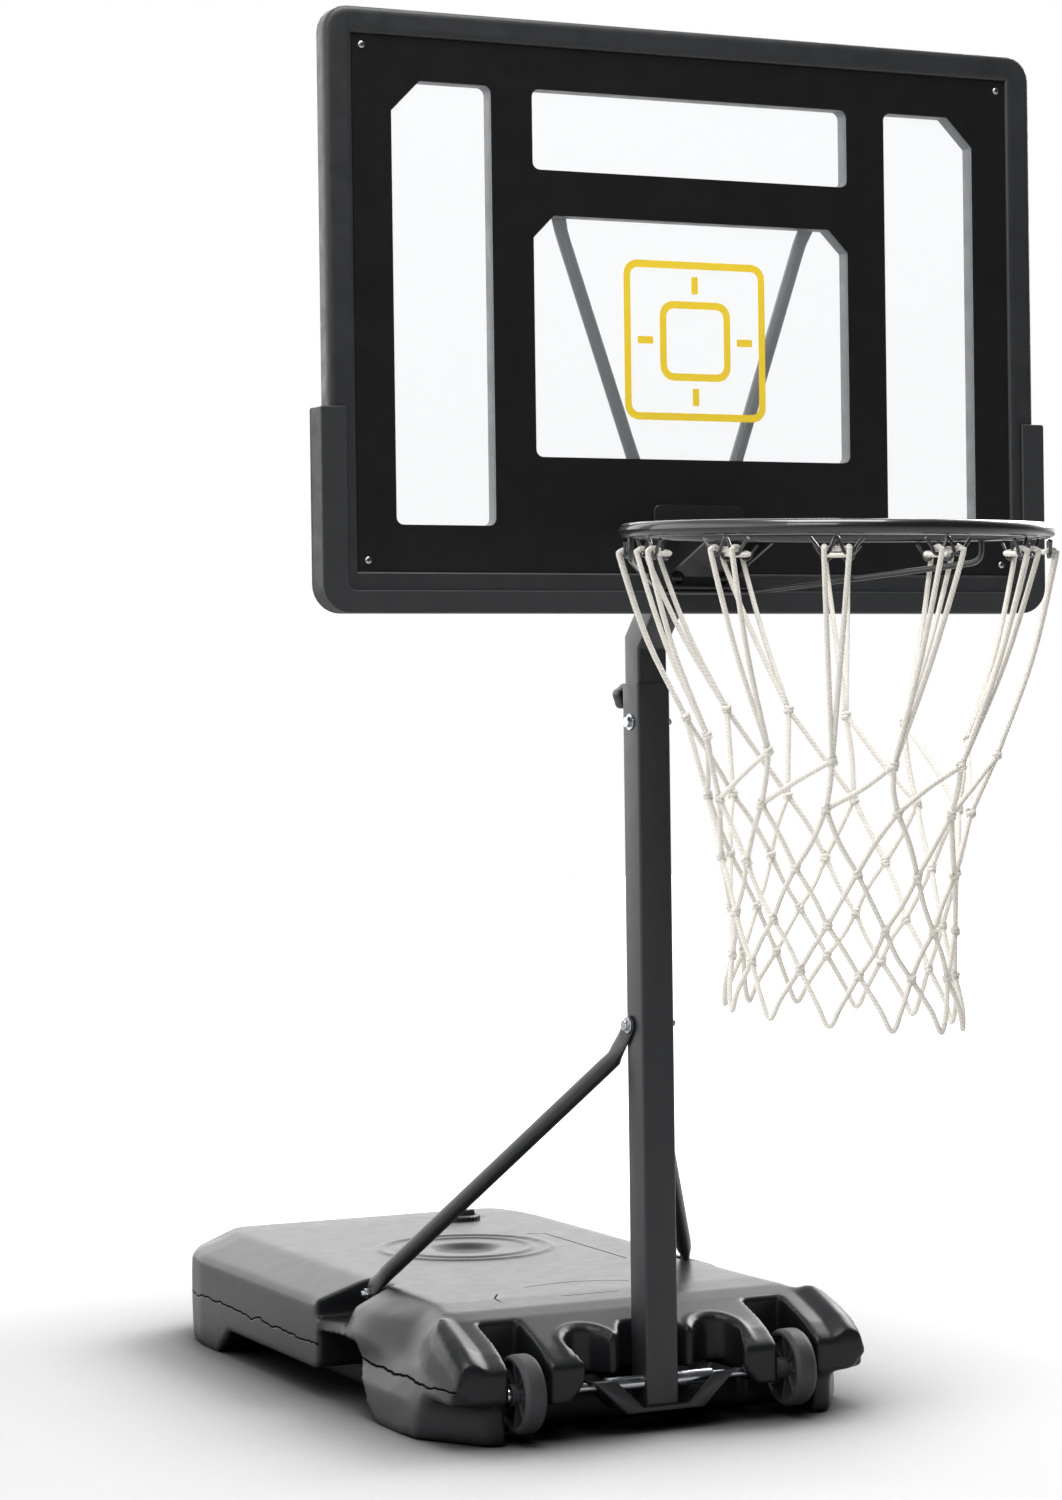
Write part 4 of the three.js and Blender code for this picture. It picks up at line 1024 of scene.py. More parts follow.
def centred(piece: Piece) -> Piece:
    """Move a pattern's mesh so that the pole's foot lies at the object's own origin."""
    piece.data.transform(Matrix.Translation((0.0, AXIS_SHIFT * MM, 0.0)))
    return piece


def swell(value: np.ndarray, middle: float, reach: float) -> np.ndarray:
    """A smooth hump: 1 at the middle and 0 from the reach outwards."""
    return np.clip(1 - ((value - middle) / reach) ** 2, 0, 1) ** 2


def ramp(value: np.ndarray, start: float, end: float) -> np.ndarray:
    """A smooth step from 0 at the start to 1 at the end."""
    share = np.clip((value - start) / (end - start), 0, 1)
    return share * share * (3 - 2 * share)


def welded_copy(node: Piece, name: str, flat: float = 0.0) -> Piece:
    """Copy a node's shape with its corners joined.

    Args:
        node: The frame's node.
        name: The copy's name.
        flat: Faces that meet at less than this angle become one.

    Returns:
        The copy, without a material.
    """
    piece = linked(name, node.data.copy())
    piece.data.materials.clear()
    work = bmesh.new()
    work.from_mesh(piece.data)
    bmesh.ops.remove_doubles(work, verts=work.verts, dist=2e-6)
    if flat:
        bmesh.ops.dissolve_limit(work, angle_limit=flat, verts=work.verts, edges=work.edges)
    work.to_mesh(piece.data)
    work.free()
    return piece


def softened(node: Piece, name: str, width: float) -> Piece:
    """Copy a node's shape with its hard edges rounded.

    Args:
        node: The frame's node.
        name: The copy's name.
        width: Width of the rounding.

    Returns:
        The rounded copy.
    """
    piece = welded_copy(node, name, radians(1.0))
    round_edges(piece, width)
    bake(piece)
    shade(piece.data)
    return piece


# Sub-assemblies


@dataclass
class Tank:
    """The blow-moulded tank with its screw cap.

    Attributes:
        dip: How deep the front blocks' tops dip in front of their mounds.
        lobe: The well's lobe: its middle's distance from the middle plane, its depth and its radius.
    """

    voxel: float = 3.2
    rounding_passes: int = 7
    corner_passes: int = 46
    shoulder_passes: int = 40
    most_faces: int = 185000
    mound: float = 17.0
    dip: float = 9.0
    ridge: float = 9.0
    lip: float = 2.0
    lobe: Spot = (90.0, 2.0, 31.0)
    cap_place: Pair = (110.0, 850.0)
    cap_radius: float = 31.0
    cap_floor: float = 145.3
    cap_top: float = 156.3
    cap_ribs: int = 28
    cap_rib_depth: float = 0.7
    cap_grip: Spot = (24.0, 4.5, 6.0)

    def shell(self, frame: dict) -> Piece:
        """Give the tank the soft edges of a blown skin.

        Args:
            frame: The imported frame.

        Returns:
            The skin.
        """
        piece = welded_copy(frame["nodes"]["base_tank"], "tank_shell")
        remesh = piece.modifiers.new("skin", "REMESH")
        remesh.mode = "VOXEL"
        remesh.voxel_size = self.voxel * MM
        self.smooth(piece, "blown edges", self.rounding_passes)
        bake(piece)
        self.sculpt(piece.data)
        for name, passes in self.soft_places(piece).items():
            self.smooth(piece, name, passes).vertex_group = name
        bake(piece)
        piece.vertex_groups.clear()
        thin = piece.modifiers.new("fewer faces", "DECIMATE")
        piece.data.calc_loop_triangles()
        thin.ratio = min(1.0, self.most_faces / len(piece.data.loop_triangles))
        bake(piece)
        piece.data.shade_smooth()
        return piece

    def smooth(self, piece: Piece, name: str, passes: int) -> bpy.types.Modifier:
        """Add smoothing to a piece.

        Args:
            piece: The piece.
            name: The modifier's name.
            passes: How often the mesh is smoothed.

        Returns:
            The modifier.
        """
        modifier = piece.modifiers.new(name, "SMOOTH")
        modifier.factor = 0.5
        modifier.iterations = passes
        return modifier

    def soft_places(self, piece: Piece) -> dict[str, int]:
        """Group the corners that the mould rounds most.

        Args:
            piece: The tank's dense mesh.

        Returns:
            Smoothing passes for each vertex group.
        """
        x, y, z = self.spots(piece.data)
        corner = ramp(x, 205, 235) * ramp(y, 115, 85) * ramp(z, 62, 48)
        shoulder = ramp(x, 175, 215) * ramp(y, 385, 410) * ramp(z, 96, 112)
        rear = ramp(y, 800, 860)
        hip = ramp(x, 200, 240) * ramp(y, 70, 100) * ramp(y, 300, 280) * ramp(z, 55, 75)
        places = {
            "lower front corners": (corner, self.corner_passes),
            "rounded shoulders": (np.maximum(np.maximum(shoulder, rear), hip), self.shoulder_passes),
        }
        levels = 10
        for name, (weight, _) in places.items():
            group = piece.vertex_groups.new(name=name)
            for level in range(1, levels + 1):
                chosen = np.nonzero(np.round(weight * levels) == level)[0]
                group.add(chosen.tolist(), level / levels, "REPLACE")
        return {name: passes for name, (_, passes) in places.items()}

    def from_well(self, x: np.ndarray, y: np.ndarray) -> np.ndarray:
        """Distance outwards from the edge of the well's round lobes."""
        middle, depth, radius = self.lobe
        return np.hypot(x - middle, np.maximum(y - depth, 0)) - radius

    def spots(self, mesh: Mesh) -> tuple[np.ndarray, np.ndarray, np.ndarray]:
        """Measure every vertex.

        Args:
            mesh: The tank's mesh.

        Returns:
            Distances from the middle plane, depths and heights.
        """
        places = np.empty(len(mesh.vertices) * 3)
        mesh.vertices.foreach_get("co", places)
        places = places.reshape(-1, 3) / MM
        return np.abs(places[:, 0]), places[:, 1] + AXIS_SHIFT, places[:, 2]

    def sculpt(self, mesh: Mesh) -> None:
        """Shape the mounds, dips and ridges of the front blocks, and the lip round the well.

        Args:
            mesh: The tank's dense mesh.
        """
        count = len(mesh.vertices)
        places, facing = np.empty(count * 3), np.empty(count * 3)
        mesh.vertices.foreach_get("co", places)
        mesh.vertex_normals.foreach_get("vector", facing)
        places, upwards = places.reshape(-1, 3), facing.reshape(-1, 3)[:, 2]
        side = np.sign(places[:, 0])
        x, y, z = self.spots(mesh)
        bulge = self.mound * swell(y, 262, 100) * swell(z, 114, 48) * ramp(x, 225, 262)
        hollow = self.dip * swell(y, 128, 58) * swell(x, 283, 46) * ramp(z, 80, 110)
        upper = ramp(upwards, 0.1, 0.6) * ramp(z, 60, 90)
        crest = self.ridge * swell(x, 263, 25) * ramp(y, 98, 62) * upper
        lip = self.lip * swell(self.from_well(x, y), 7, 7) * ramp(upwards, 0.5, 0.9) * ramp(z, 95, 110)
        places[:, 0] += side * (bulge - hollow * 0.6) * MM
        places[:, 2] += (crest + lip - hollow) * MM
        places[:, 2] = np.maximum(places[:, 2], 0.0)
        mesh.vertices.foreach_set("co", places.ravel())
        mesh.update()

    def cap(self) -> Piece:
        """A ribbed screw cap with a grip bar.

        Returns:
            The cap.
        """
        x, y = self.cap_place
        rings = []
        # Share of the height, share of the radius and share of the ribs' depth
        levels = [
            (0.0, 1.0, 0.0), (0.12, 1.0, 1.0), (0.85, 1.0, 1.0), (1.0, 0.94, 0.0), (1.0, 0.80, 0.0),
            (0.86, 0.76, 0.0),
        ]
        count = self.cap_ribs * 4
        for share, reach, rib in levels:
            height = self.cap_floor + share * (self.cap_top - self.cap_floor)
            ring = []
            for index in range(count):
                turn = tau * index / count
                notch = rib * self.cap_rib_depth * max(0.0, sin(self.cap_ribs * turn))
                radius = self.cap_radius * reach - notch
                ring.append((x + radius * cos(turn), y + radius * sin(turn), height))
            rings.append(ring)
        body = loft("cap_body", rings)
        long, wide, rise = self.cap_grip
        top = self.cap_top + rise
        rings = []
        for height, trim in ((self.cap_floor + 4, 0.0), (top - 2, 0.0), (top - 0.5, 0.8), (top, 2.2)):
            outline = rectangle(x - long + trim, y - wide + trim, x + long - trim, y + wide - trim, 2.2)
            rings.append([(a, b, height) for a, b in outline])
        return merge("screw_cap", [body, loft("cap_grip", rings)])

    def build(self, frame: dict) -> None:
        """Make and dress the tank's pieces."""
        dress(self.shell(frame), TANK_PLASTIC, Body.BASE, "base_tank")
        dress(self.cap(), CAP_PLASTIC, Body.BASE, "fill_cap")


@dataclass
class RunningGear:
    """Wheels, axle and the pieces on it.

    Attributes:
        web: Half the thickness of the web between hub and tread.
        collar: Radius of the caps and the spacers.
    """

    radius: float = 48.7
    width: float = 28.5
    middle: float = 187.8
    rim_inside: float = 40.6
    web: float = 4.0
    axle_radius: float = 6.0
    axle_back: float = -8.2
    axle_height: float = 60.0
    axle_reach: float = 208.55
    bore: float = 6.3
    collar: float = 9.5
    hub_radius: float = 13.5
    hub_inner: float = 159.5
    hub_outer: float = 204.55
    spokes: int = 8

    @property
    def centre(self) -> Pair:
        """The axle's middle across X."""
        return self.axle_back, self.axle_height

    def wheel(self, side: Side) -> Piece:
        """A moulded wheel: a crowned tread, a web with ribs and a hub.

        Args:
            side: The side that it runs on.

        Returns:
            The wheel.
        """
        low, high = self.middle - self.width / 2, self.middle + self.width / 2
        near, far = self.middle - self.web, self.middle + self.web
        shoulder, web_end = self.radius - 3.5, self.rim_inside - 0.9
        profile = fillet(
            [
                (self.bore, self.hub_inner, 0.8), (self.hub_radius, self.hub_inner, 1.2),
                (self.hub_radius, near, 2), (web_end, near, 3), (self.rim_inside, low, 1.5),
                (shoulder, low, 3), (self.radius, low + 5.5, 6), (self.radius, high - 5.5, 6),
                (shoulder, high, 3), (self.rim_inside, high, 1.5), (web_end, far, 3),
                (self.hub_radius, far, 2), (self.hub_radius, self.hub_outer, 1.2),
                (self.bore, self.hub_outer, 0.8),
            ],
            3,
        )
        bodies = [self.turned(f"rolling_{side.word}", profile, side, 96)]
        bodies += [self.rib(spoke, side.value) for spoke in range(self.spokes)]
        return merge(f"moulded_wheel_{side.word}", bodies)

    def turned(self, name: str, profile: Sequence[Pair], side: Side, facets: int = 40) -> Piece:
        """Turn a profile, as radii and distances from the middle plane, about the axle."""
        return lathe(name, [(r, side.value * x) for r, x in profile], self.centre, facets=facets)

    def rib(self, spoke: int, sign: int) -> Piece:
        """A radial rib between hub and tread, through the web.

        Args:
            spoke: Its number round the wheel.
            sign: The wheel's side along X.

        Returns:
            The rib.
        """
        turn = tau * spoke / self.spokes
        out = Vector((0.0, cos(turn), sin(turn)))
        across = Vector((0.0, -sin(turn), cos(turn)))
        centre = Vector((0.0, self.axle_back, self.axle_height))
        rings = []
        for reach, half in ((12.5, 8.5), (40.5, 11.5)):
            corners = rectangle(sign * self.middle - half, -1.6, sign * self.middle + half, 1.6, 1.0)
            rings.append([centre + Vector((x, 0, 0)) + out * reach + across * b for x, b in corners])
        return loft(f"rib_{spoke}", rings)

    def axle(self) -> Piece:
        """The plated rod with chamfered ends.

        Returns:
            The rod.
        """
        end, radius, soft = self.axle_reach, self.axle_radius, self.axle_radius - 1
        profile = [(0, -end), (soft, -end), (radius, 1 - end), (radius, end - 1), (soft, end), (0, end)]
        return self.turned("plated_axle", profile, Side.RIGHT)

    def cap(self, side: Side) -> Piece:
        """A domed push cap on the rod's end.

        Args:
            side: The end that it sits on.

        Returns:
            The cap.
        """
        inner = self.hub_outer + 0.5
        bottom = inner + 3.8
        profile = [
            (0, bottom), (self.bore, bottom), (self.bore, inner), (9.2, inner), (self.collar, inner + 0.4),
            (self.collar, inner + 2.6), (8.6, bottom + 0.8), (6.6, bottom + 1.9), (3.6, bottom + 2.4),
            (0, bottom + 2.5),
        ]
        return self.turned(f"push_cap_{side.word}", profile, side)

    def sleeve(self, side: Side) -> Piece:
        """A spacer tube beside the pole, as long as its node.

        Args:
            side: Its side.

        Returns:
            The spacer.
        """
        low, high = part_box(f"axle_sleeve_{side.word}")
        a, b = low.x / MM, high.x / MM
        bore, wide, soft = self.bore, self.collar, self.collar - 0.4
        profile = [(bore, a), (soft, a), (wide, a + 0.4), (wide, b - 0.4), (soft, b), (bore, b)]
        return lathe(f"spacer_{side.word}", profile, self.centre, facets=40)

    def build(self) -> None:
        """Make and dress the running gear."""
        wheels = {Side.LEFT: Body.LEFT_WHEEL, Side.RIGHT: Body.RIGHT_WHEEL}
        for side, body in wheels.items():
            dress(self.wheel(side), WHEEL_POLYMER, body, f"wheel_{side.word}")
            dress(self.cap(side), ZINC, Body.BASE, f"axle_cap_{side.word}")
            dress(self.sleeve(side), ZINC, Body.BASE, f"axle_sleeve_{side.word}")
        dress(self.axle(), ZINC, Body.BASE, "axle")


@dataclass
class Post:
    """The two square tubes, the struts and the clamp knob.

    Attributes:
        end: Where the inner tube meets the board, along Y.
        slot: Heights of the ends of the inner tube's slot.
    """

    outer: float = 45.0
    inner: float = 40.0
    wall: float = 1.6
    foot: float = 30.0
    top: float = 929.0
    inner_foot: float = 605.0
    bend: float = 980.0
    end: float = -117.1
    slot: Pair = (676.7, 915.3)
    bolt_hole: float = 4.3
    knob_height: float = 913.0
    knob_from: float = 39.3
    knob_radius: float = 17.0
    strut_radius: float = 11.0
    strut_top: Spot = (24.8, 9.0, 503.0)
    strut_foot: Spot = (230.0, 369.0, 134.0)

    def lower(self) -> Piece:
        """Make the lower square tube with rolled corners.

        Returns:
            The tube.
        """
        half, inside = self.outer / 2, self.outer / 2 - self.wall
        levels = (
            (self.foot, square(half, 4.5)), (self.top - 0.5, square(half, 4.5)),
            (self.top, square(half - 0.5, 4.0)), (self.top, square(inside, 2.9)),
            (self.foot, square(inside, 2.9)),
        )
        rings = [[(x, y, z) for x, y in outline] for z, outline in levels]
        return loft("lower_tube", rings, closed=True)

    def upper(self) -> Piece:
        """Make the inner tube: straight, then bent forward to the board.

        Returns:
            The tube.
        """
        half, places = self.inner / 2, self.stations()
        rings = [self.section(half, 4.0, place) for place in places]
        hollow = [self.section(half - self.wall, 2.4, place) for place in reversed(places)]
        piece = loft("inner_tube", [*rings, *hollow], closed=True)
        low, high = self.slot
        outline = rectangle(-self.bolt_hole, low, self.bolt_hole, high, 4.0)
        cutter = loft("slot_cutter", [[(x, y, z) for y, z in outline] for x in (-self.inner, self.inner)])
        cut_out(piece, [cutter])
        return piece

    def stations(self) -> list[Spot]:
        """Places along the inner tube as (y, z, lean in radians): foot, mitre and board."""
        lean, high = radians(45), self.bend - self.end
        return [(0.0, self.inner_foot, 0.0), (0.0, self.bend, lean / 2), (self.end, high, lean)]

    def section(self, half: float, corner: float, place: Spot) -> list[Vector]:
        """Lay a rounded square across the tube: level, on the mitre's plane, or flat against the board.

        Args:
            half: Half the square's side.
            corner: Radius of its corners.
            place: One of the stations.

        Returns:
            The square's points.
        """
        y, z, lean = place
        if y == self.end:
            return [Vector((x, y, z + b * sqrt(2))) for x, b in square(half, corner)]
        return [Vector((x, y + b, z + b * tan(lean))) for x, b in square(half, corner)]

    def knob(self) -> Piece:
        """Make the lobed clamp knob with its neck and screw.

        Returns:
            The knob.
        """
        rings = []
        facets, lobes, waist = 80, 5, 0.14
        for y, reach in ((44.3, 0.86), (45.2, 0.95), (47.0, 1.0), (61.0, 1.0), (63.2, 0.94), (64.3, 0.82)):
            ring = []
            for step in range(facets):
                turn = tau * step / facets
                radius = self.knob_radius * reach * (1 - waist * (1 - cos(lobes * turn)) / 2)
                ring.append((radius * sin(turn), y, self.knob_height + radius * cos(turn)))
            rings.append(ring)
        head = loft("knob_head", rings)
        centre, start = (0.0, self.knob_height), self.knob_from
        neck = lathe("knob_neck", [(0, start), (7.2, start), (8, 40), (8, 46), (0, 46)], centre, "y", 40)
        screw = lathe("knob_screw", [(0, 20.5), (3.2, 20.5), (4, 21.4), (4, 41), (0, 41)], centre, "y", 24)
        return merge("clamp_knob", [head, neck, screw])

    def strut(self, side: Side) -> Piece:
        """Make a round tube whose ends are pressed flat.

        Args:
            side: Its side.

        Returns:
            The strut.
        """
        top, foot = Vector(self.strut_top), Vector(self.strut_foot)
        run = Vector((0, foot.y - top.y, foot.z - top.z)).normalized()
        neck_top = top + run * 62
        neck_foot = foot - run * 44 - Vector((12, 0, 0))
        tab_end = foot - run * 14
        along = (neck_foot - neck_top).normalized()
        full = self.strut_radius
        # Each mark is a place, half the width and half the thickness there
        upper = [
            (top - run * 11, 3.0, 1.3), (top - run * 10.4, 6.5, 1.9), (top - run * 7, 10.5, 2.0),
            (top, 12.3, 2.0), (top + run * 20, 12.5, 2.0), (top + run * 33, 12.5, 2.2),
            (top.lerp(neck_top, 0.76) + along * 2, 12.0, 5.6),
        ]
        middle = [
            (neck_top, 11.2, 10.0), (neck_top + along * 16, full, full),
            (neck_top.lerp(neck_foot, 0.5), full, full), (neck_foot - along * 14, full, full),
            (neck_foot, 11.2, 10.0),
        ]
        lower = [
            (tab_end.lerp(neck_foot, 0.45), 12.0, 5.6), (tab_end, 12.5, 2.2), (foot, 12.3, 2.0),
            (foot + run * 7, 10.5, 2.0), (foot + run * 10.4, 6.5, 1.9), (foot + run * 11, 3.0, 1.3),
        ]
        rings = []
        for marks, lean in ((upper, run), (middle, along), (lower, run)):
            across = Vector((1, 0, 0)).cross(lean).normalized()
            through = lean.cross(across).normalized()
            for centre, wide, thick in marks:
                power = 0.55 if thick < 3 else (0.8 if thick < 8 else 1.0)
                rings.append(mirror(pressed_ring(centre, across, through, (wide, thick), power), side))
        return loft(f"pressed_strut_{side.word}", rings)

    def build(self, frame: dict) -> None:
        """Make and dress the post's pieces.

        Args:
            frame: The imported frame.
        """
        dress(self.lower(), POWDER_COAT, Body.BASE, "lower_pole")
        dress(self.upper(), POWDER_COAT, Body.BOARD, "upper_pole")
        dress(self.knob(), KNOB_PLASTIC, Body.KNOB, "star_knob")
        for side in Side:
            dress(self.strut(side), POWDER_COAT, Body.BASE, f"strut_{side.word}")
        boss = softened(frame["nodes"]["knob_boss"], "welded_knob_boss", 0.7)
        dress(boss, POWDER_COAT, Body.BASE, "knob_boss")


@dataclass
class FootBracket:
    """The folded bracket under the pole, open in front above its floor.

    Attributes:
        flange: Width of the folded edges beside its openings.
        flare: How far its sides lean outwards up to the top.
    """

    low: float = 26.5
    sill: float = 32.0
    top: float = 68.0
    half: float = 55.0
    flange: float = 24.0
    depth: float = 31.0
    plate: float = 2.6
    flare: float = 44.0

    def block(self, name: str, heights: Pair, thinner: float, depth: float, radius: float) -> Piece:
        """Make a block with flared sides.

        Args:
            name: The block's name.
            heights: Where it starts and ends.
            thinner: How far its sides stay inside the bracket's.
            depth: Half its depth.
            radius: Radius of its corners.

        Returns:
            The block.
        """
        rings = []
        for z in heights:
            reach = self.half + self.flare / (self.top - self.low) * (z - self.low) - thinner
            rings.append([(x, y, z) for x, y in rectangle(-reach, -depth, reach, depth, radius)])
        return loft(name, rings)

    def folded(self, gear: RunningGear) -> Piece:
        """Make the bracket with its openings and the axle's holes.

        Args:
            gear: The running gear, whose axle goes through it.

        Returns:
            The bracket.
        """
        above, beyond, overlap = self.top + 4, self.depth + 2, 0.2
        inside = self.depth - self.plate
        near = self.half - self.flange
        far = near + self.flare / (self.top - self.low) * (above - self.sill)
        corners = [(-near, self.sill), (near, self.sill), (far, above), (-far, above)]
        cutters = []
        for ends in ((-beyond, overlap - inside), (inside - overlap, beyond)):
            cutters.append(loft("bracket_window", [[(x, y, z) for x, z in corners] for y in ends]))
        hollow = (self.low + self.plate, above)
        cutters.append(self.block("bracket_hollow", hollow, self.plate * 1.4, inside, 2.0))
        piece = self.block("folded_foot_bracket", (self.low, self.top), 0.0, self.depth, 4.0)
        bore = [(0.0, -150.0), (gear.bore, -150.0), (gear.bore, 150.0), (0.0, 150.0)]
        cutters.append(gear.turned("bracket_bore", bore, Side.RIGHT))
        cut_out(piece, cutters, 0.5)
        return piece

    def build(self, gear: RunningGear) -> None:
        """Make and dress the bracket."""
        dress(self.folded(gear), POWDER_COAT, Body.BASE, "pole_foot_bracket")


@dataclass
class Fastener:
    """Hexagon bolts and nuts, and the studs at the struts' feet.

    Attributes:
        seats: Each cross bolt's name, where it sits from the middle plane, and its place along Y and Z.
        stud: Where a stud starts, leaves the tank, ends its shoulder, carries its nut, and ends.
    """

    across: float = 13.0
    shank: float = 4.0
    pitch: float = 1.25
    head: float = 4.9
    flange: float = 1.6
    flange_radius: float = 10.5
    nut: float = 6.5
    facets: int = 36
    seats: tuple[tuple[str, float, float, float], ...] = (
        ("pole", 22.8, 0.0, 881.0), ("strut_top", 27.1, 9.0, 503.0),
    )
    foot: Pair = (369.0, 134.0)
    stud: tuple[float, float, float, float, float] = (191.0, 215.3, 227.7, 232.3, 243.8)

    def hexagon(self, name: str, axis: str, ends: Pair, centre: Pair, hole: float = 0.0) -> Piece:
        """Make a chamfered hexagon between two places along an axis.

        Args:
            name: Its name.
            axis: "x" or "y".
            ends: Where it begins and where its outer face is.
            centre: Its place across the axis.
            hole: Radius of a hole through it.

        Returns:
            The hexagon.
        """
        start, end = ends
        way = copysign(1.0, end - start)
        flat, any_reach = self.across / 2, 99.0
        turns = [tau * step / self.facets for step in range(self.facets)]
        rings = []
        for along, limit in (
            (start, flat * 0.99), (start + way * 0.7, any_reach), (end - way * 1.1, any_reach),
            (end, flat * 0.97),
        ):
            reaches = [min(flat / cos(turn % (pi / 3) - pi / 6), limit) for turn in turns]
            rings.append(self.ring(axis, along, centre, turns, reaches))
        if not hole:
            return loft(name, rings)
        inner = [self.ring(axis, along, centre, turns, [hole] * self.facets) for along in (end, start)]
        return loft(name, [*rings, *inner], closed=True)

    def ring(
        self, axis: str, along: float, centre: Pair, turns: list[float], reaches: list[float]
    ) -> list[Spot]:
        """Set points round an axis.

        Args:
            axis: "x" or "y".
            along: Their place along the axis.
            centre: The axis's place across itself.
            turns: Each point's angle.
            reaches: Each point's distance from the axis.

        Returns:
            The points.
        """
        points = []
        for turn, reach in zip(turns, reaches):
            a, b = centre[0] + reach * cos(turn), centre[1] + reach * sin(turn)
            points.append((along, a, b) if axis == "x" else (a, along, b))
        return points

    def bolt(self, name: str, seat: float, tip: float, centre: Pair) -> Piece:
        """Make a flanged hexagon bolt along X.

        Args:
            name: The bolt's name.
            seat: Where its flange sits.
            tip: Where its shank ends.
            centre: Its place across X.

        Returns:
            The bolt.
        """
        out = copysign(1.0, seat - tip)
        top = seat + out * self.flange
        profile = [
            (0, top), (self.flange_radius - 0.6, top), (self.flange_radius, top - out * 0.8),
            (self.flange_radius, seat), (self.shank, seat), *self.thread(tip, out), (0, tip),
        ]
        body = lathe(f"{name}_shank", profile, centre, "x", 40)
        head = self.hexagon(f"{name}_head", "x", (top - out * 0.4, top + out * self.head), centre)
        return merge(name, [body, head])

    def thread(self, tip: float, out: float) -> list[Pair]:
        """Make the last turns of a thread as a toothed profile towards the tip.

        Args:
            tip: Where the thread ends.
            out: 1 or -1, the way from the tip to the head.

        Returns:
            Pairs of a radius and a place along the axis.
        """
        teeth = []
        for turn in range(5, 0, -1):
            crest = tip + out * turn * self.pitch
            teeth += [(self.shank - 0.55, crest + out * 0.6), (self.shank, crest)]
        return [*teeth, (self.shank - 1.0, tip)]

    def foot_stud(self, side: Side) -> None:
        """Make and dress a strut's stud and its nut.

        Args:
            side: The strut's side.
        """
        sign, hole = side.value, self.shank + 0.3
        start, wall, shoulder, seat, tip = self.stud
        profile = [
            (0, start), (self.shank, start), (self.shank, wall), (self.flange_radius, wall),
            (self.flange_radius, shoulder - 0.5), (self.flange_radius - 0.5, shoulder),
            (self.shank, shoulder),
            *self.thread(tip, -1.0), (0, tip),
        ]
        stud = lathe(f"foot_stud_{side.word}", [(r, sign * x) for r, x in profile], self.foot, "x", 40)
        dress(stud, ZINC, Body.BASE, f"strut_stud_{side.word}")
        ends = (sign * seat, sign * (seat + self.nut))
        nut = self.hexagon(f"foot_nut_{side.word}", "x", ends, self.foot, hole)
        dress(nut, ZINC, Body.BASE, f"strut_nut_{side.word}")

    def build(self) -> None:
        """Make and dress every hexagon fastener."""
        hole = self.shank + 0.3
        for name, seat, *centre in self.seats:
            bolt = self.bolt(f"{name}_hex_bolt", -seat, seat + self.nut + 5, centre)
            dress(bolt, ZINC, Body.BASE, f"{name}_bolt")
            nut = self.hexagon(f"{name}_hex_nut", "x", (seat, seat + self.nut), centre, hole)
            dress(nut, ZINC, Body.BASE, f"{name}_nut")
        for side in Side:
            self.foot_stud(side)
            for level in ("lower", "upper"):
                place = f"{level}_{side.word}"
                low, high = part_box(f"rim_nut_{place}")
                centre = ((low.x + high.x) / 2 / MM, (low.z + high.z) / 2 / MM)
                ends = (low.y / MM + AXIS_SHIFT, high.y / MM + AXIS_SHIFT)
                nut = self.hexagon(f"rim_hex_nut_{place}", "y", ends, centre, hole)
                dress(nut, ZINC, Body.BOARD, f"rim_nut_{place}")


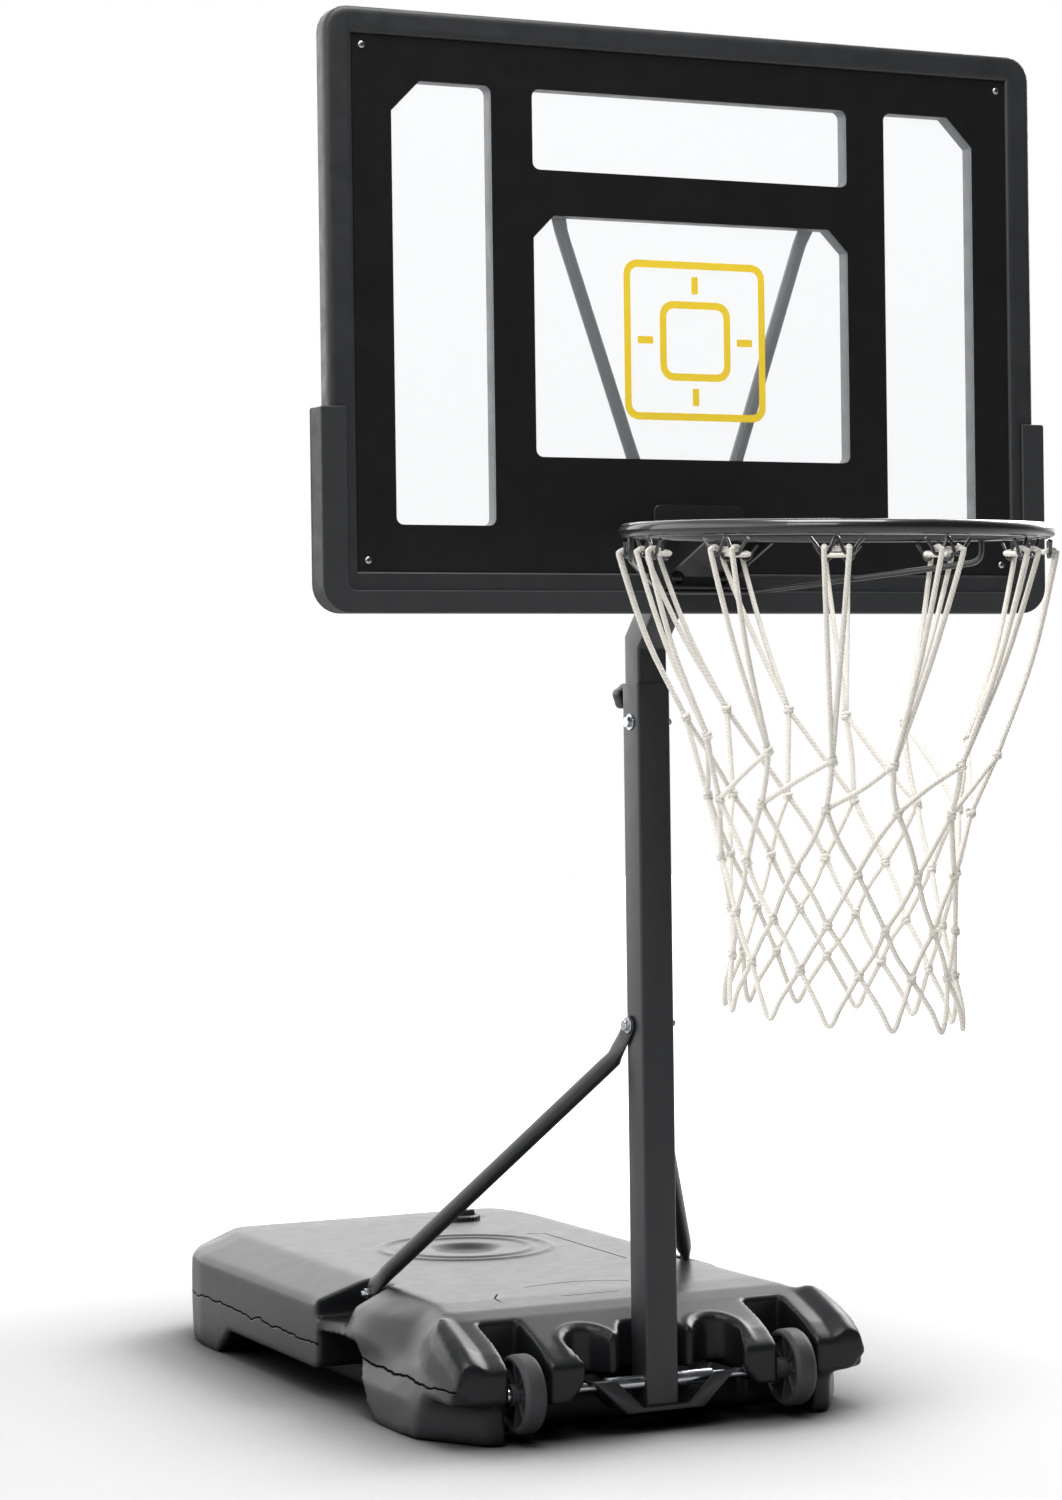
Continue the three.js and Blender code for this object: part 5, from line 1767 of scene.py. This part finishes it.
@dataclass
class Backboard:
    """The framed board: moulded frame, printed clear sheet, guard and the steel behind it.

    Attributes:
        side: Inner and outer edge of a side window.
    """

    half: float = 479.0
    bottom: float = 1018.0
    top: float = 1713.6
    corner: float = 30.0
    sheet_half: float = 444.0
    sheet_bottom: float = 1060.0
    sheet_top: float = 1682.0
    sheet_face: float = -144.0
    sheet_thickness: float = 3.0
    frame_front: float = -140.7
    frame_back: float = -121.7
    border_front: float = -149.0
    window_half: float = 213.7
    window_corner: float = 9.0
    title: Pair = (1537.1, 1631.7)
    middle: Pair = (1196.8, 1483.3)
    middle_cut: float = 27.0
    side: Pair = (267.6, 394.6)
    side_low: float = 1114.6
    side_cut: float = 36.0
    pad_half: float = 491.5
    pad_bottom: float = 1011.6
    pad_top: float = 1250.0
    pad_corner: float = 34.0
    pad_lip: float = 20.0
    pad_front: float = -153.3
    pad_back: float = -116.4
    target_half: float = 96.0
    target_middle: float = 1340.0
    target_line: float = 9.0
    bolts: tuple[Pair, ...] = ((30.0, 1054.0), (40.8, 1113.0))
    bolt_hole: float = 4.3
    screws: tuple[Pair, ...] = ((431.5, 1072.5), (431.5, 1669.5))
    screw_hole: float = 2.3
    arm_top: Pair = (177.2, 1510.2)
    fit: float = 0.3

    def windows(self, trim: float = 0.0) -> list[Outline]:
        """Draw the four windows.

        Args:
            trim: How far each window shrinks on every side.

        Returns:
            Outlines of the title, middle, left and right windows.
        """
        t, r, cut = trim, self.window_corner, 2.0
        wide, high = self.window_half - t, self.title[1] - t
        title = rectangle(-wide, self.title[0] + t, wide, high, r)
        low, top = self.middle[0] + t, self.middle[1]
        narrow, shoulder = self.window_half - self.middle_cut - t / 2, top - self.middle_cut - t / 2
        middle = fillet(
            [
                (-wide, low, r), (wide, low, r), (wide, shoulder, cut), (narrow, top - t, cut),
                (-narrow, top - t, cut), (-wide, shoulder, cut),
            ]
        )
        sides = []
        for sign in (-1, 1):
            near, far = sign * (self.side[0] + t), sign * (self.side[1] - t)
            bevel = sign * (self.side[1] - self.side_cut - t / 2)
            corners = [
                (near, self.side_low + t, r), (far, self.side_low + t, r),
                (far, self.title[1] - self.side_cut - t / 2, cut), (bevel, high, cut), (near, high, r),
            ]
            sides.append(fillet(corners))
        return [title, middle, *sides]

    def mirrored(self, places: Sequence[Pair], radius: float) -> list[Outline]:
        """Round holes at places on both sides."""
        return [circle(sign * x, z, radius) for x, z in places for sign in (-1, 1)]

    def frame_body(self) -> Piece:
        """Make the moulded frame: a plate with windows and a proud rounded border.

        Returns:
            The frame.
        """
        outer = rectangle(-self.half, self.bottom, self.half, self.top, self.corner)
        holes = self.windows() + self.mirrored(self.bolts, self.bolt_hole)
        front, back, face = self.frame_front, self.frame_back, self.border_front
        levels = [(front, 0.0), (back - 2, 0.0), (back - 0.6, 0.6), (back, 2.0)]
        body = plate("frame_plate", outer, holes, levels)
        wide, low, high = self.sheet_half + self.fit, self.sheet_bottom - self.fit, self.sheet_top + self.fit
        levels = [
            (face, 8.5), (face + 0.2, 6.0), (face + 1.0, 3.4), (face + 2.4, 1.4), (face + 4.6, 0.3),
            (front + 1.0, 0.0),
        ]
        border = plate("frame_border", outer, [rectangle(-wide, low, wide, high)], levels)
        return merge("moulded_frame", [body, border])

    def sheet(self) -> Piece:
        """Make the clear sheet: printed black round its windows and clear in them.

        Returns:
            The sheet, with its own materials.
        """
        outer = rectangle(-self.sheet_half, self.sheet_bottom, self.sheet_half, self.sheet_top)
        back, seam = self.sheet_face + self.sheet_thickness, 0.1
        levels = rounded_levels(self.sheet_face, back, 0.3, 1)
        holes = self.windows(-seam) + self.mirrored(self.bolts[1:], self.bolt_hole)
        holes += self.mirrored(self.screws, self.screw_hole)
        printed = plate("printed_zone", outer, holes, levels)
        printed.data.materials.append(SCREEN_INK.build())
        panes = []
        for index, outline in enumerate(self.windows(seam)):
            pane = plate(f"pane_{index}", outline, [], [(self.sheet_face, 0.0), (back, 0.0)])
            pane.data.materials.append(ACRYLIC.build())
            panes.append(pane)
        mark = self.target()
        mark.data.materials.append(TARGET_INK.build())
        return merge("printed_sheet", [printed, *panes, mark])

    def target(self) -> Piece:
        """Make a plain printed target: nested rounded squares with ticks between them.

        Returns:
            The print.
        """
        z, half, line = self.target_middle, self.target_half, self.target_line
        level = [(self.sheet_face - 0.12, 0.0), (self.sheet_face - 0.02, 0.0)]
        marks = []
        for reach in (half, half / 2):
            outer = rectangle(-reach, z - reach, reach, z + reach, 18)
            inner = rectangle(-reach + line, z - reach + line, reach - line, z + reach - line, 10)
            marks.append(plate("target_ring", outer, [inner], level))
        for x, y in ((0, 1), (0, -1), (1, 0), (-1, 0)):
            near, far = half / 2 + line, half - line * 2
            a, b = sorted((x * near, x * far)) if x else (-line / 2, line / 2)
            c, d = sorted((y * near, y * far)) if y else (-line / 2, line / 2)
            marks.append(plate("target_tick", rectangle(a, z + c, b, z + d, 2), [], level))
        return merge("target", marks)

    def guard(self) -> Piece:
        """Make the thick guard that wraps the board's lower end: front skin, wall and back skin.

        Returns:
            The guard.
        """
        half, low, top = self.pad_half, self.pad_bottom, self.pad_top
        outer = fillet(
            [(-half, low, self.pad_corner), (half, low, self.pad_corner), (half, top, 3), (-half, top, 3)], 8
        )
        notch, board = (self.u_shape(outer, lip) for lip in (self.pad_lip, -self.fit))
        front, back, fit = self.border_front, self.frame_back, self.fit
        pieces = [
            plate("guard_front", notch, [], rounded_levels(self.pad_front, front - fit, 1.8)),
            plate("guard_wall", board, [], [(front - 1.5, 0.4), (back + 1.5, 0.4)]),
            plate("guard_back", notch, [], rounded_levels(back + fit, self.pad_back, 1.8)),
        ]
        return merge("moulded_guard", pieces)

    def u_shape(self, outer: Outline, lip: float) -> Outline:
        """Draw an outline that goes round the guard and comes back inside, open at the top.

        Args:
            outer: The guard's outside, anticlockwise.
            lip: How far its inside lies within the board's edge.

        Returns:
            The outline.
        """
        half, low, top = self.half - lip, self.bottom + lip, self.pad_top + 0.01
        radius = self.corner - max(lip, 0.0)
        inner = fillet([(-half, top, 0), (-half, low, radius), (half, low, radius), (half, top, 0)], 4)
        # The walk starts at the upper left corner
        first = max(range(len(outer)), key=lambda index: outer[index][1] - outer[index][0] * 1e-3)
        ordered = outer[first:] + outer[:first]
        outside = [point for point in ordered if point[1] < top - 0.02 or abs(point[0]) > self.half]
        return [*outside, *[(x, min(z, self.pad_top)) for x, z in reversed(inner)]]

    def screw(self, x: float, z: float, name: str) -> Piece:
        """Make a pan-head screw, with a black cross on its head painted as the shade of a cross recess.

        Args:
            x: Its place across the board.
            z: Its height.
            name: Its name.

        Returns:
            The screw, with its own materials.
        """
        face = self.sheet_face - self.fit
        profile = [
            (0, face - 2.0), (2.2, face - 1.95), (3.6, face - 1.5), (4.4, face - 0.6), (4.5, face),
            (2.0, face), (2.0, -129.0), (0, -127.0),
        ]
        body = lathe(f"{name}_body", profile, (x, z), "y", 32)
        body.data.materials.append(ZINC.build())
        pieces = [body]
        # The black cross is painted shade standing in for the recess; the head itself is not cut
        for wide, tall in ((2.6, 0.45), (0.45, 2.6)):
            outline = rectangle(x - wide, z - tall, x + wide, z + tall)
            bar = plate(f"{name}_cross", outline, [], [(face - 2.04, 0.0), (face - 1.2, 0.0)])
            bar.data.materials.append(KNOB_PLASTIC.build())
            pieces.append(bar)
        return merge(name, pieces)

    def arm(self, side: Side) -> Piece:
        """Make a steel tube behind the board, pressed flat at both ends.

        Args:
            side: Its side.

        Returns:
            The arm.
        """
        top, foot = (Vector((x, 0.0, z)) for x, z in (self.arm_top, self.bolts[1]))
        along = (foot - top).normalized()
        front = self.frame_back + self.fit
        lifted = front + 4.6
        # Each mark is a place, where its front lies, its thickness and half its width
        marks = [
            (top - along * 13, front, 3.0, 8.0), (top - along * 11, front, 3.0, 10.0),
            (top + along * 13, front, 3.0, 10.0), (top + along * 26, front, 6.0, 9.6),
            (top + along * 43, front, 15.0, 8.2), (top + along * 60, front, 16.0, 8.0),
            (foot - along * 98, front, 16.0, 8.0), (foot - along * 84, front, 16.0, 8.2),
            (foot - along * 66, front + 2.0, 10.0, 9.6), (foot - along * 54, lifted, 6.0, 10.0),
            (foot - along * 13, lifted, 3.0, 10.0), (foot + along * 11, lifted, 3.0, 10.0),
            (foot + along * 13, lifted, 3.0, 8.0),
        ]
        through = Vector((0, 1, 0))
        across = along.cross(through).normalized()
        rings = []
        for centre, y, deep, half in marks:
            power = 0.5 if deep < 7 else 0.85
            middle = centre + through * (y + deep / 2)
            rings.append(mirror(pressed_ring(middle, across, through, (half, deep / 2), power), side))
        return loft(f"back_arm_{side.word}", rings)

    def build(self, frame: dict) -> None:
        """Make and dress the board's pieces.

        Args:
            frame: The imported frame.
        """
        dress(self.frame_body(), FRAME_PLASTIC, Body.BOARD, "board_frame")
        dress(self.sheet(), ACRYLIC, Body.BOARD, "board_sheet")
        dress(self.guard(), PAD_PLASTIC, Body.BOARD, "lower_pad")
        for side in Side:
            for (x, z), level in zip(self.screws, ("lower", "upper")):
                name = f"{level}_{side.word}"
                screw = self.screw(side.value * x, z, f"pan_screw_{name}")
                dress(screw, ZINC, Body.BOARD, f"sheet_screw_{name}")
            dress(self.arm(side), POWDER_COAT, Body.BOARD, f"v_arm_{side.word}")
        bracket = softened(frame["nodes"]["board_bracket"], "bracket_plate", 0.8)
        dress(bracket, POWDER_COAT, Body.BOARD, "board_bracket")


@dataclass
class Rim:
    """The ring with its bracket, brace, bolts and net hooks.

    Attributes:
        droop: How far the ring tilts down in front.
        brace_turn: Where it joins the ring, as an angle from the back.
        brace_drop: How far the brace hangs under the ring there.
        hook_bow_side: How far the middle of a hook's bow lies beside the hook's.
        hook_bow_drop: How far it hangs under the rod's middle.
    """

    radius: float = 237.0
    tube: float = 8.5
    forward: float = 479.6
    height: float = 1092.7
    droop: float = radians(2.0)
    brace_turn: float = radians(75.0)
    brace_drop: float = 24.0
    brace_end: Spot = (61.0, -158.3, 1036.2)
    hooks: int = 12
    wire: float = 2.0
    hook_reach: float = 28.0
    hook_bow: float = 7.0
    hook_bow_side: float = 13.0
    hook_bow_drop: float = 22.0
    seat: float = -148.6

    def spot(self, turn: float, reach: float, rise: float, along: float = 0.0) -> Vector:
        """A place on the tilted rim.

        Args:
            turn: Angle from the back centre.
            reach: Distance from the ring's middle.
            rise: Height above the ring's plane.
            along: Distance along the ring's tangent.

        Returns:
            The place.
        """
        right = reach * sin(turn) + cos(turn) * along
        back = reach * cos(turn) - sin(turn) * along
        tilt = Matrix.Rotation(self.droop, 3, "X")
        return tilt @ Vector((right, back, rise)) + Vector((0, -self.forward, self.height))

    def ring(self) -> Piece:
        """Make the ring itself.

        Returns:
            The ring.
        """
        rings = []
        steps, sides = 160, 24
        for step in range(steps):
            turn = tau * step / steps
            ring = []
            for side in range(sides):
                angle = tau * side / sides
                reach = self.radius + self.tube * cos(angle)
                ring.append(self.spot(turn, reach, self.tube * sin(angle)))
            rings.append(ring)
        return loft("round_ring", rings, closed=True)

    def brace(self) -> Piece:
        """Make the bent rod from the bracket's flange to both sides of the ring.

        Returns:
            The rod.
        """
        turn = self.brace_turn
        right = [
            self.spot(turn, self.radius, -self.tube - 0.3),
            self.spot(turn, self.radius, -self.tube - self.brace_drop),
            Vector(self.brace_end),
        ]
        return tube("bent_brace", bend_path([*right, *mirror(reversed(right), Side.LEFT)], 16.0), 3.5, 16)

    def hook_pattern(self) -> Piece:
        """Make one W of wire about its station on the ring.

        Returns:
            The wire, in metres about the origin.
        """
        loops = []
        bow = self.hook_bow
        for sign in (-1, 1):
            for degrees in range(180, 361, 30):
                turn = radians(degrees)
                x = sign * self.hook_bow_side + bow * cos(turn)
                loops.append((x, 0.0, -self.hook_bow_drop + bow * sin(turn)))
            if sign < 0:
                loops.append((0.0, 0.0, -self.tube - 0.3 - self.wire))
        end = -self.tube - 1.5 * self.wire
        flat = [(-self.hook_reach, 0.0, end), *loops, (self.hook_reach, 0.0, end)]
        return centred(tube("hook_pattern", smooth_path(flat, 5), self.wire, 10))

    def hook_places(self) -> list[tuple[Vector, Spot]]:
        """Find each hook's station and turn.

        Returns:
            Pairs of a place in the frame and Euler angles.
        """
        places = []
        for index in range(self.hooks):
            turn = tau * index / self.hooks
            lean = Matrix.Rotation(self.droop, 3, "X") @ Matrix.Rotation(-turn, 3, "Z")
            places.append((to_frame(self.spot(turn, self.radius, 0.0)), tuple(lean.to_euler())))
        return places

    def bolt(self, node: str, name: str) -> Piece:
        """Make a carriage bolt with a low dome, as long as its node.

        Args:
            node: The bolt's node.
            name: The bolt's name.

        Returns:
            The bolt.
        """
        low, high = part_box(node)
        x, z = (low.x + high.x) / 2 / MM, (low.z + high.z) / 2 / MM
        seat, tip = self.seat, high.y / MM + AXIS_SHIFT
        fastener = Fastener()
        profile = [
            (0, seat - 3.74), (2.4, seat - 3.6), (4.8, seat - 3.1), (6.8, seat - 2.0), (8.1, seat - 0.8),
            (8.5, seat), (fastener.shank, seat), *fastener.thread(tip, -1.0), (0, tip),
        ]
        return lathe(name, profile, (x, z), "y", 40)

    def build(self, frame: dict, repeater: Repeater) -> None:
        """Make and dress the rim's pieces.

        Args:
            frame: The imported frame.
            repeater: What sets the hooks round the ring.
        """
        dress(self.ring(), ENAMEL, Body.BOARD, "rim_ring")
        dress(self.brace(), ENAMEL, Body.BOARD, "rim_brace")
        bracket = softened(frame["nodes"]["rim_bracket"], "folded_rim_bracket", 0.8)
        dress(bracket, ENAMEL, Body.BOARD, "rim_bracket")
        for side in Side:
            for level in ("lower", "upper"):
                node = f"rim_bolt_{level}_{side.word}"
                dress(self.bolt(node, f"carriage_bolt_{level}_{side.word}"), ENAMEL, Body.BOARD, node)
        hooks = repeater.spread("wire_hooks", self.hook_pattern(), self.hook_places(), ENAMEL)
        nodes = [f"net_hook_{index:02d}" for index in range(1, self.hooks + 1)]
        dress(hooks, ENAMEL, Body.BOARD, *nodes)


@dataclass
class Net:
    """The knotted cord net.

    Attributes:
        lean: How far the net hangs lower in front.
        slant: How far it hangs lower on the right.
        gather: How far the upper knots gather, in hooks.
        gather_place: Where they gather, in hooks from the back centre.
        rows: Each row's radius, drop, turn in hooks, and shares of the lean and the slant.
    """

    rim: Rim
    cord: float = 3.0
    sides: int = 10
    sway: float = 7.0
    lean: float = 33.0
    slant: float = 10.0
    gather: float = 0.28
    gather_place: float = 5.4
    loop_radius: float = 134.0
    length: float = 546.0
    rows: tuple[tuple[float, float, float, float, float], ...] = (
        (172.0, 231.2, 0.12, 1.00, 0.6), (149.0, 306.9, 0.20, 0.25, 0.8), (133.0, 375.6, 0.75, 0.25, 0.9),
        (124.0, 436.4, 0.25, 0.25, 1.0), (124.0, 488.2, 0.72, 0.25, 1.1),
    )

    def hang(self, place: float, radius: float, drop: float, lean: float, slant: float) -> Vector:
        """A place on the hanging net.

        Args:
            place: Where round the rim, in hooks from the back centre.
            radius: Distance from the net's axis.
            drop: How far below the rim.
            lean: Share of the lean towards the front.
            slant: Share of the slant towards the right.

        Returns:
            The place.
        """
        turn = place / self.rim.hooks * tau
        sag = lean * self.lean * cos(turn) - slant * self.slant * sin(turn)
        across, back = radius * sin(turn), radius * cos(turn)
        return Vector((across, -self.rim.forward + back, self.rim.height - drop + sag))

    def knot(self, row: int, index: int) -> Vector:
        """Find where a knot hangs.

        Args:
            row: Its row from the top.
            index: Its number round the net.

        Returns:
            The place.
        """
        radius, drop, beside, lean, slant = self.rows[row]
        place = index + beside
        if row == 0:
            place += self.gather * cos((index - self.gather_place) / self.rim.hooks * tau * 2)
        sway = self.sway * sin(5 * place + 2 * row) / 2
        return self.hang(place, radius + sway, drop, lean, slant)

    def between(self, a: Vector, b: Vector, share: float, out: float) -> Vector:
        """Find a place between two others, pushed away from the net's axis.

        Args:
            a: The first place.
            b: The second one.
            share: Share of the way to it.
            out: How far it is pushed.

        Returns:
            The place.
        """
        middle = a.lerp(b, share)
        away = Vector((middle.x, middle.y + self.rim.forward, 0.0)).normalized()
        return middle + away * out

    def hook_loop(self, index: int) -> Piece:
        """Make the long loop that hangs from one hook.

        Args:
            index: The hook's number from the back centre.

        Returns:
            The cord, from its knot over both bows of the hook and back.
        """
        rim = self.rim
        turn = index / rim.hooks * tau
        beside = rim.wire + self.cord + 0.7
        over = -rim.hook_bow_drop - rim.hook_bow + beside
        outside, inside, bow = rim.radius + beside, rim.radius - beside, rim.hook_bow_side
        knot = self.knot(0, index)
        left, right = (rim.spot(turn, outside, over - beside * 2, sign * bow) for sign in (-1, 1))
        points = [
            knot, self.between(knot, left, 0.5, self.sway), left,
            rim.spot(turn, outside, over, -bow), rim.spot(turn, rim.radius, over + 2, -bow),
            rim.spot(turn, inside, over, 1 - bow), rim.spot(turn, inside, over, bow - 1),
            rim.spot(turn, rim.radius, over + 2, bow), rim.spot(turn, outside, over, bow),
            right, self.between(knot, right, 0.5, self.sway), knot,
        ]
        return tube(f"loop_{index}", smooth_path(points, 5), self.cord, self.sides)

    def low_loop(self, index: int) -> Piece:
        """Make the loop between two neighbours in the lowest row.

        Args:
            index: The first one's number.

        Returns:
            The cord.
        """
        last = len(self.rows) - 1
        start, end = self.knot(last, index), self.knot(last, (index + 1) % self.rim.hooks)
        _, _, beside, lean, slant = self.rows[-1]
        low = self.hang(index + beside + 0.5, self.loop_radius, self.length, lean, slant)
        points = [start, self.between(start, low, 0.6, 3.0), low, self.between(end, low, 0.6, 3.0), end]
        return tube(f"low_{index}", smooth_path(points, 6), self.cord, self.sides)

    def strand(self, a: Vector, b: Vector, bow: float, name: str) -> Piece:
        """Make a cord between two knots.

        Args:
            a: The first knot.
            b: The second one.
            bow: How far the cord bows sideways.
            name: The cord's name.

        Returns:
            The cord.
        """
        side = (b - a).cross(Vector((a.x, a.y + self.rim.forward, 0.0))).normalized() * bow
        middle = a.lerp(b, 0.5) + side
        return tube(name, smooth_path([a, middle, b], 5), self.cord, self.sides)

    def knot_pattern(self) -> Piece:
        """Make one tied knot: a short winding round the crossing.

        Returns:
            The knot, in metres about the origin.
        """
        path = []
        steps, windings, half = 30, 2.25, 4.4
        for step in range(steps + 1):
            turn = tau * windings * step / steps
            rise = -half + 2 * half * step / steps
            path.append(Vector((3.4 * cos(turn), 3.2 * sin(turn), rise)))
        return centred(tube("knot_pattern", path, 2.7, 8))

    def build(self, repeater: Repeater) -> None:
        """Make and dress the net.

        Args:
            repeater: What sets the knots.
        """
        cords, knots = [], []
        for index in range(self.rim.hooks):
            cords += [self.hook_loop(index), self.low_loop(index)]
            for row in range(len(self.rows)):
                here = self.knot(row, index)
                tilt, roll = 0.35 * sin(7 * index + row), 0.3 * cos(5 * index + 2 * row)
                knots.append((to_frame(here), (tilt, roll, 1.7 * index + row)))
                if row == len(self.rows) - 1:
                    continue
                shift = 1 if row % 2 == 0 else -1
                bow = 3.0 * sin(2.3 * index + row)
                beside = (index + shift) % self.rim.hooks
                cords.append(self.strand(here, self.knot(row + 1, index), bow, f"strand_{row}_{index}_a"))
                cords.append(self.strand(here, self.knot(row + 1, beside), -bow, f"strand_{row}_{index}_b"))
        tied = repeater.spread("knots", self.knot_pattern(), knots, COTTON)
        for piece in cords:
            piece.data.materials.append(COTTON.build())
        dress(merge("cord_net", [*cords, tied]), COTTON, Body.BOARD, "net")


@dataclass(frozen=True)
class Softbox:
    """A soft square lamp, in the frame's metres and in watts."""

    name: str
    place: Spot
    aim: Spot
    size: float
    power: float

    def build(self) -> None:
        """Hang the lamp."""
        data = bpy.data.lights.new(self.name, "AREA")
        data.size = self.size
        data.energy = self.power
        turn = (Vector(self.place) - Vector(self.aim)).to_track_quat("Z", "Y").to_matrix().to_4x4()
        linked(self.name, data).matrix_world = Matrix.Translation(self.place) @ turn


@dataclass
class Studio:
    """Floor, soft light and the photograph's camera.

    Attributes:
        place: The camera's place.
        floor_reach: Half the floor's side, in metres.
        fade_from: Where the floor starts to fade into white, in metres.
        fade_to: Where it is all white, in metres.
        contact: How far the painted shadow under the object reaches, in metres.
        contact_power: How fast that painted shadow falls off.
        turn_over: How far beside the bright side the surroundings change from bright to dim.
        overhead: Their share that is left overhead.
        overhead_fade: Sines of the heights between which it falls off.
    """

    place: Spot = (-2008.88, -3961.0, 883.35)
    yaw: float = radians(25.03)
    pitch: float = radians(-0.46)
    roll: float = radians(-0.77)
    lens: float = 85.42
    floor_reach: float = 14.0
    fade_from: float = 0.9
    fade_to: float = 2.4
    contact: float = 0.42
    contact_power: float = 2.2
    # Colour of the painted shadow on the floor round the object
    contact_colour: str = "#101010"
    floor_colour: str = "#c8c8c8"
    bright_side: Spot = (-0.45, 0.85, 0.1)
    turn_over: float = 0.55
    dim: float = 0.07
    bright: float = 2.3
    overhead: float = 0.3
    overhead_fade: Pair = (0.42, 0.8)
    lamps: tuple[Softbox, ...] = (
        Softbox("overhead softbox", (-0.2, -0.9, 3.3), (0.0, -0.4, 0.6), 1.3, 55.0),
        Softbox("right softbox", (3.0, 1.3, 2.8), (0.0, 0.3, 0.2), 2.4, 150.0),
        Softbox("front softbox", (-2.2, -3.0, 3.2), (0.0, -0.4, 1.2), 1.6, 40.0),
    )

    def camera(self) -> None:
        """Set the camera where the photograph was taken from."""
        level = cos(self.pitch)
        ahead = Vector((sin(self.yaw) * level, cos(self.yaw) * level, sin(self.pitch)))
        right = Vector((cos(self.yaw), -sin(self.yaw), 0.0))
        up = right.cross(ahead)
        turned_right = right * cos(self.roll) + up * sin(self.roll)
        turned_up = up * cos(self.roll) - right * sin(self.roll)
        data = bpy.data.cameras.new("photo camera")
        data.lens = self.lens
        data.sensor_width = 36.0
        data.clip_end = 60.0
        camera = linked("photo camera", data)
        turn = Matrix((turned_right, turned_up, -ahead)).transposed().to_4x4()
        camera.matrix_world = Matrix.Translation(to_frame(self.place)) @ turn
        bpy.context.scene.camera = camera

    def floor(self) -> None:
        """Lay a pale floor under the object."""
        reach = self.floor_reach
        corners = [(-reach, -reach, 0.0), (reach, -reach, 0.0), (reach, reach, 0.0), (-reach, reach, 0.0)]
        mesh = bpy.data.meshes.new("floor")
        mesh.from_pydata(corners, [], [(0, 1, 2, 3)])
        mesh.materials.append(self.floor_material())
        linked("floor", mesh)

    def floor_material(self) -> Material:
        """Make the pale floor: with a painted shadow under the object, and glowing white to the camera
        further out.

        Returns:
            The material.
        """
        material, tree, shader = blank("pale floor")
        # Ambient occlusion mixes a painted shadow into the floor's colour near the object
        open_sky = add_node(tree, "AmbientOcclusion", {"Distance": self.contact}, samples=12)
        depth = add_node(tree, "Math", {0: open_sky.outputs["AO"], 1: self.contact_power}, operation="POWER")
        mix = {"Factor": depth, "A": linear(self.contact_colour), "B": linear(self.floor_colour)}
        ground_with_painted_shadow = add_node(tree, "Mix", mix, data_type="RGBA").outputs["Result"]
        place = add_node(tree, "TexCoord").outputs["Object"]
        away = add_node(tree, "VectorMath", {0: place}, operation="LENGTH")
        far = {"Value": away.outputs["Value"], "From Min": self.fade_from, "From Max": self.fade_to}
        fade = add_node(tree, "MapRange", far, interpolation_type="SMOOTHSTEP")
        seen = add_node(tree, "LightPath").outputs["Is Camera Ray"]
        glow = add_node(tree, "Math", {0: seen, 1: fade}, operation="MULTIPLY")
        looks = {
            "Base Color": ground_with_painted_shadow, "Roughness": 0.75, "Specular IOR Level": 0.1,
            "Emission Color": (1.0, 1.0, 1.0, 1.0), "Emission Strength": glow,
        }
        fill(tree, shader, looks)
        return material

    def world(self) -> None:
        """Set white surroundings: bright behind and to the left, dim in front, plain to the camera."""
        world = bpy.data.worlds.new("white studio")
        world.use_nodes = True
        tree = world.node_tree
        tree.nodes.clear()
        way = add_node(tree, "TexCoord").outputs["Generated"]
        bright = Vector(self.bright_side).normalized()
        facing = add_node(tree, "VectorMath", {0: way, 1: bright}, operation="DOT_PRODUCT")
        side = {
            "Value": facing.outputs["Value"], "From Min": -self.turn_over, "From Max": self.turn_over,
            "To Min": self.dim, "To Max": self.bright,
        }
        level = add_node(tree, "MapRange", side, interpolation_type="SMOOTHSTEP")
        height = add_node(tree, "SeparateXYZ", {"Vector": way})
        low, high = self.overhead_fade
        above = {
            "Value": height.outputs["Z"], "From Min": low, "From Max": high, "To Min": 1.0,
            "To Max": self.overhead,
        }
        falloff = add_node(tree, "MapRange", above, interpolation_type="SMOOTHSTEP")
        strength = add_node(tree, "Math", {0: level, 1: falloff}, operation="MULTIPLY")
        white = (1, 1, 1, 1)
        around = add_node(tree, "Background", {"Color": white, "Strength": strength})
        plain = add_node(tree, "Background", {"Color": white, "Strength": 1.0})
        seen = add_node(tree, "LightPath").outputs["Is Camera Ray"]
        sky = add_node(tree, "MixShader", {"Fac": seen, 1: around, 2: plain})
        add_node(tree, "OutputWorld", {"Surface": sky})
        bpy.context.scene.world = world

    def build(self) -> None:
        """Set up the whole studio."""
        self.camera()
        self.floor()
        self.world()
        for softbox in self.lamps:
            softbox.build()
        bpy.context.scene.view_settings.view_transform = "Standard"


def dress_plain_nodes(frame: dict) -> None:
    """Give the nodes that stay their finish.

    Args:
        frame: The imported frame.
    """
    for name, node in frame["nodes"].items():
        if name.startswith("arm_screw"):
            node.data.materials.clear()
            node.data.materials.append(ZINC.build())


def main() -> None:
    """Build the looks of the whole hoop."""
    logging.basicConfig(level=logging.INFO, format="%(message)s")
    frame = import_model()
    Studio().build()
    repeater = Repeater()
    Tank().build(frame)
    gear = RunningGear()
    gear.build()
    Post().build(frame)
    FootBracket().build(gear)
    Fastener().build()
    Backboard().build(frame)
    rim = Rim()
    rim.build(frame, repeater)
    Net(rim).build(repeater)
    dress_plain_nodes(frame)


if __name__ == "__main__":
    main()
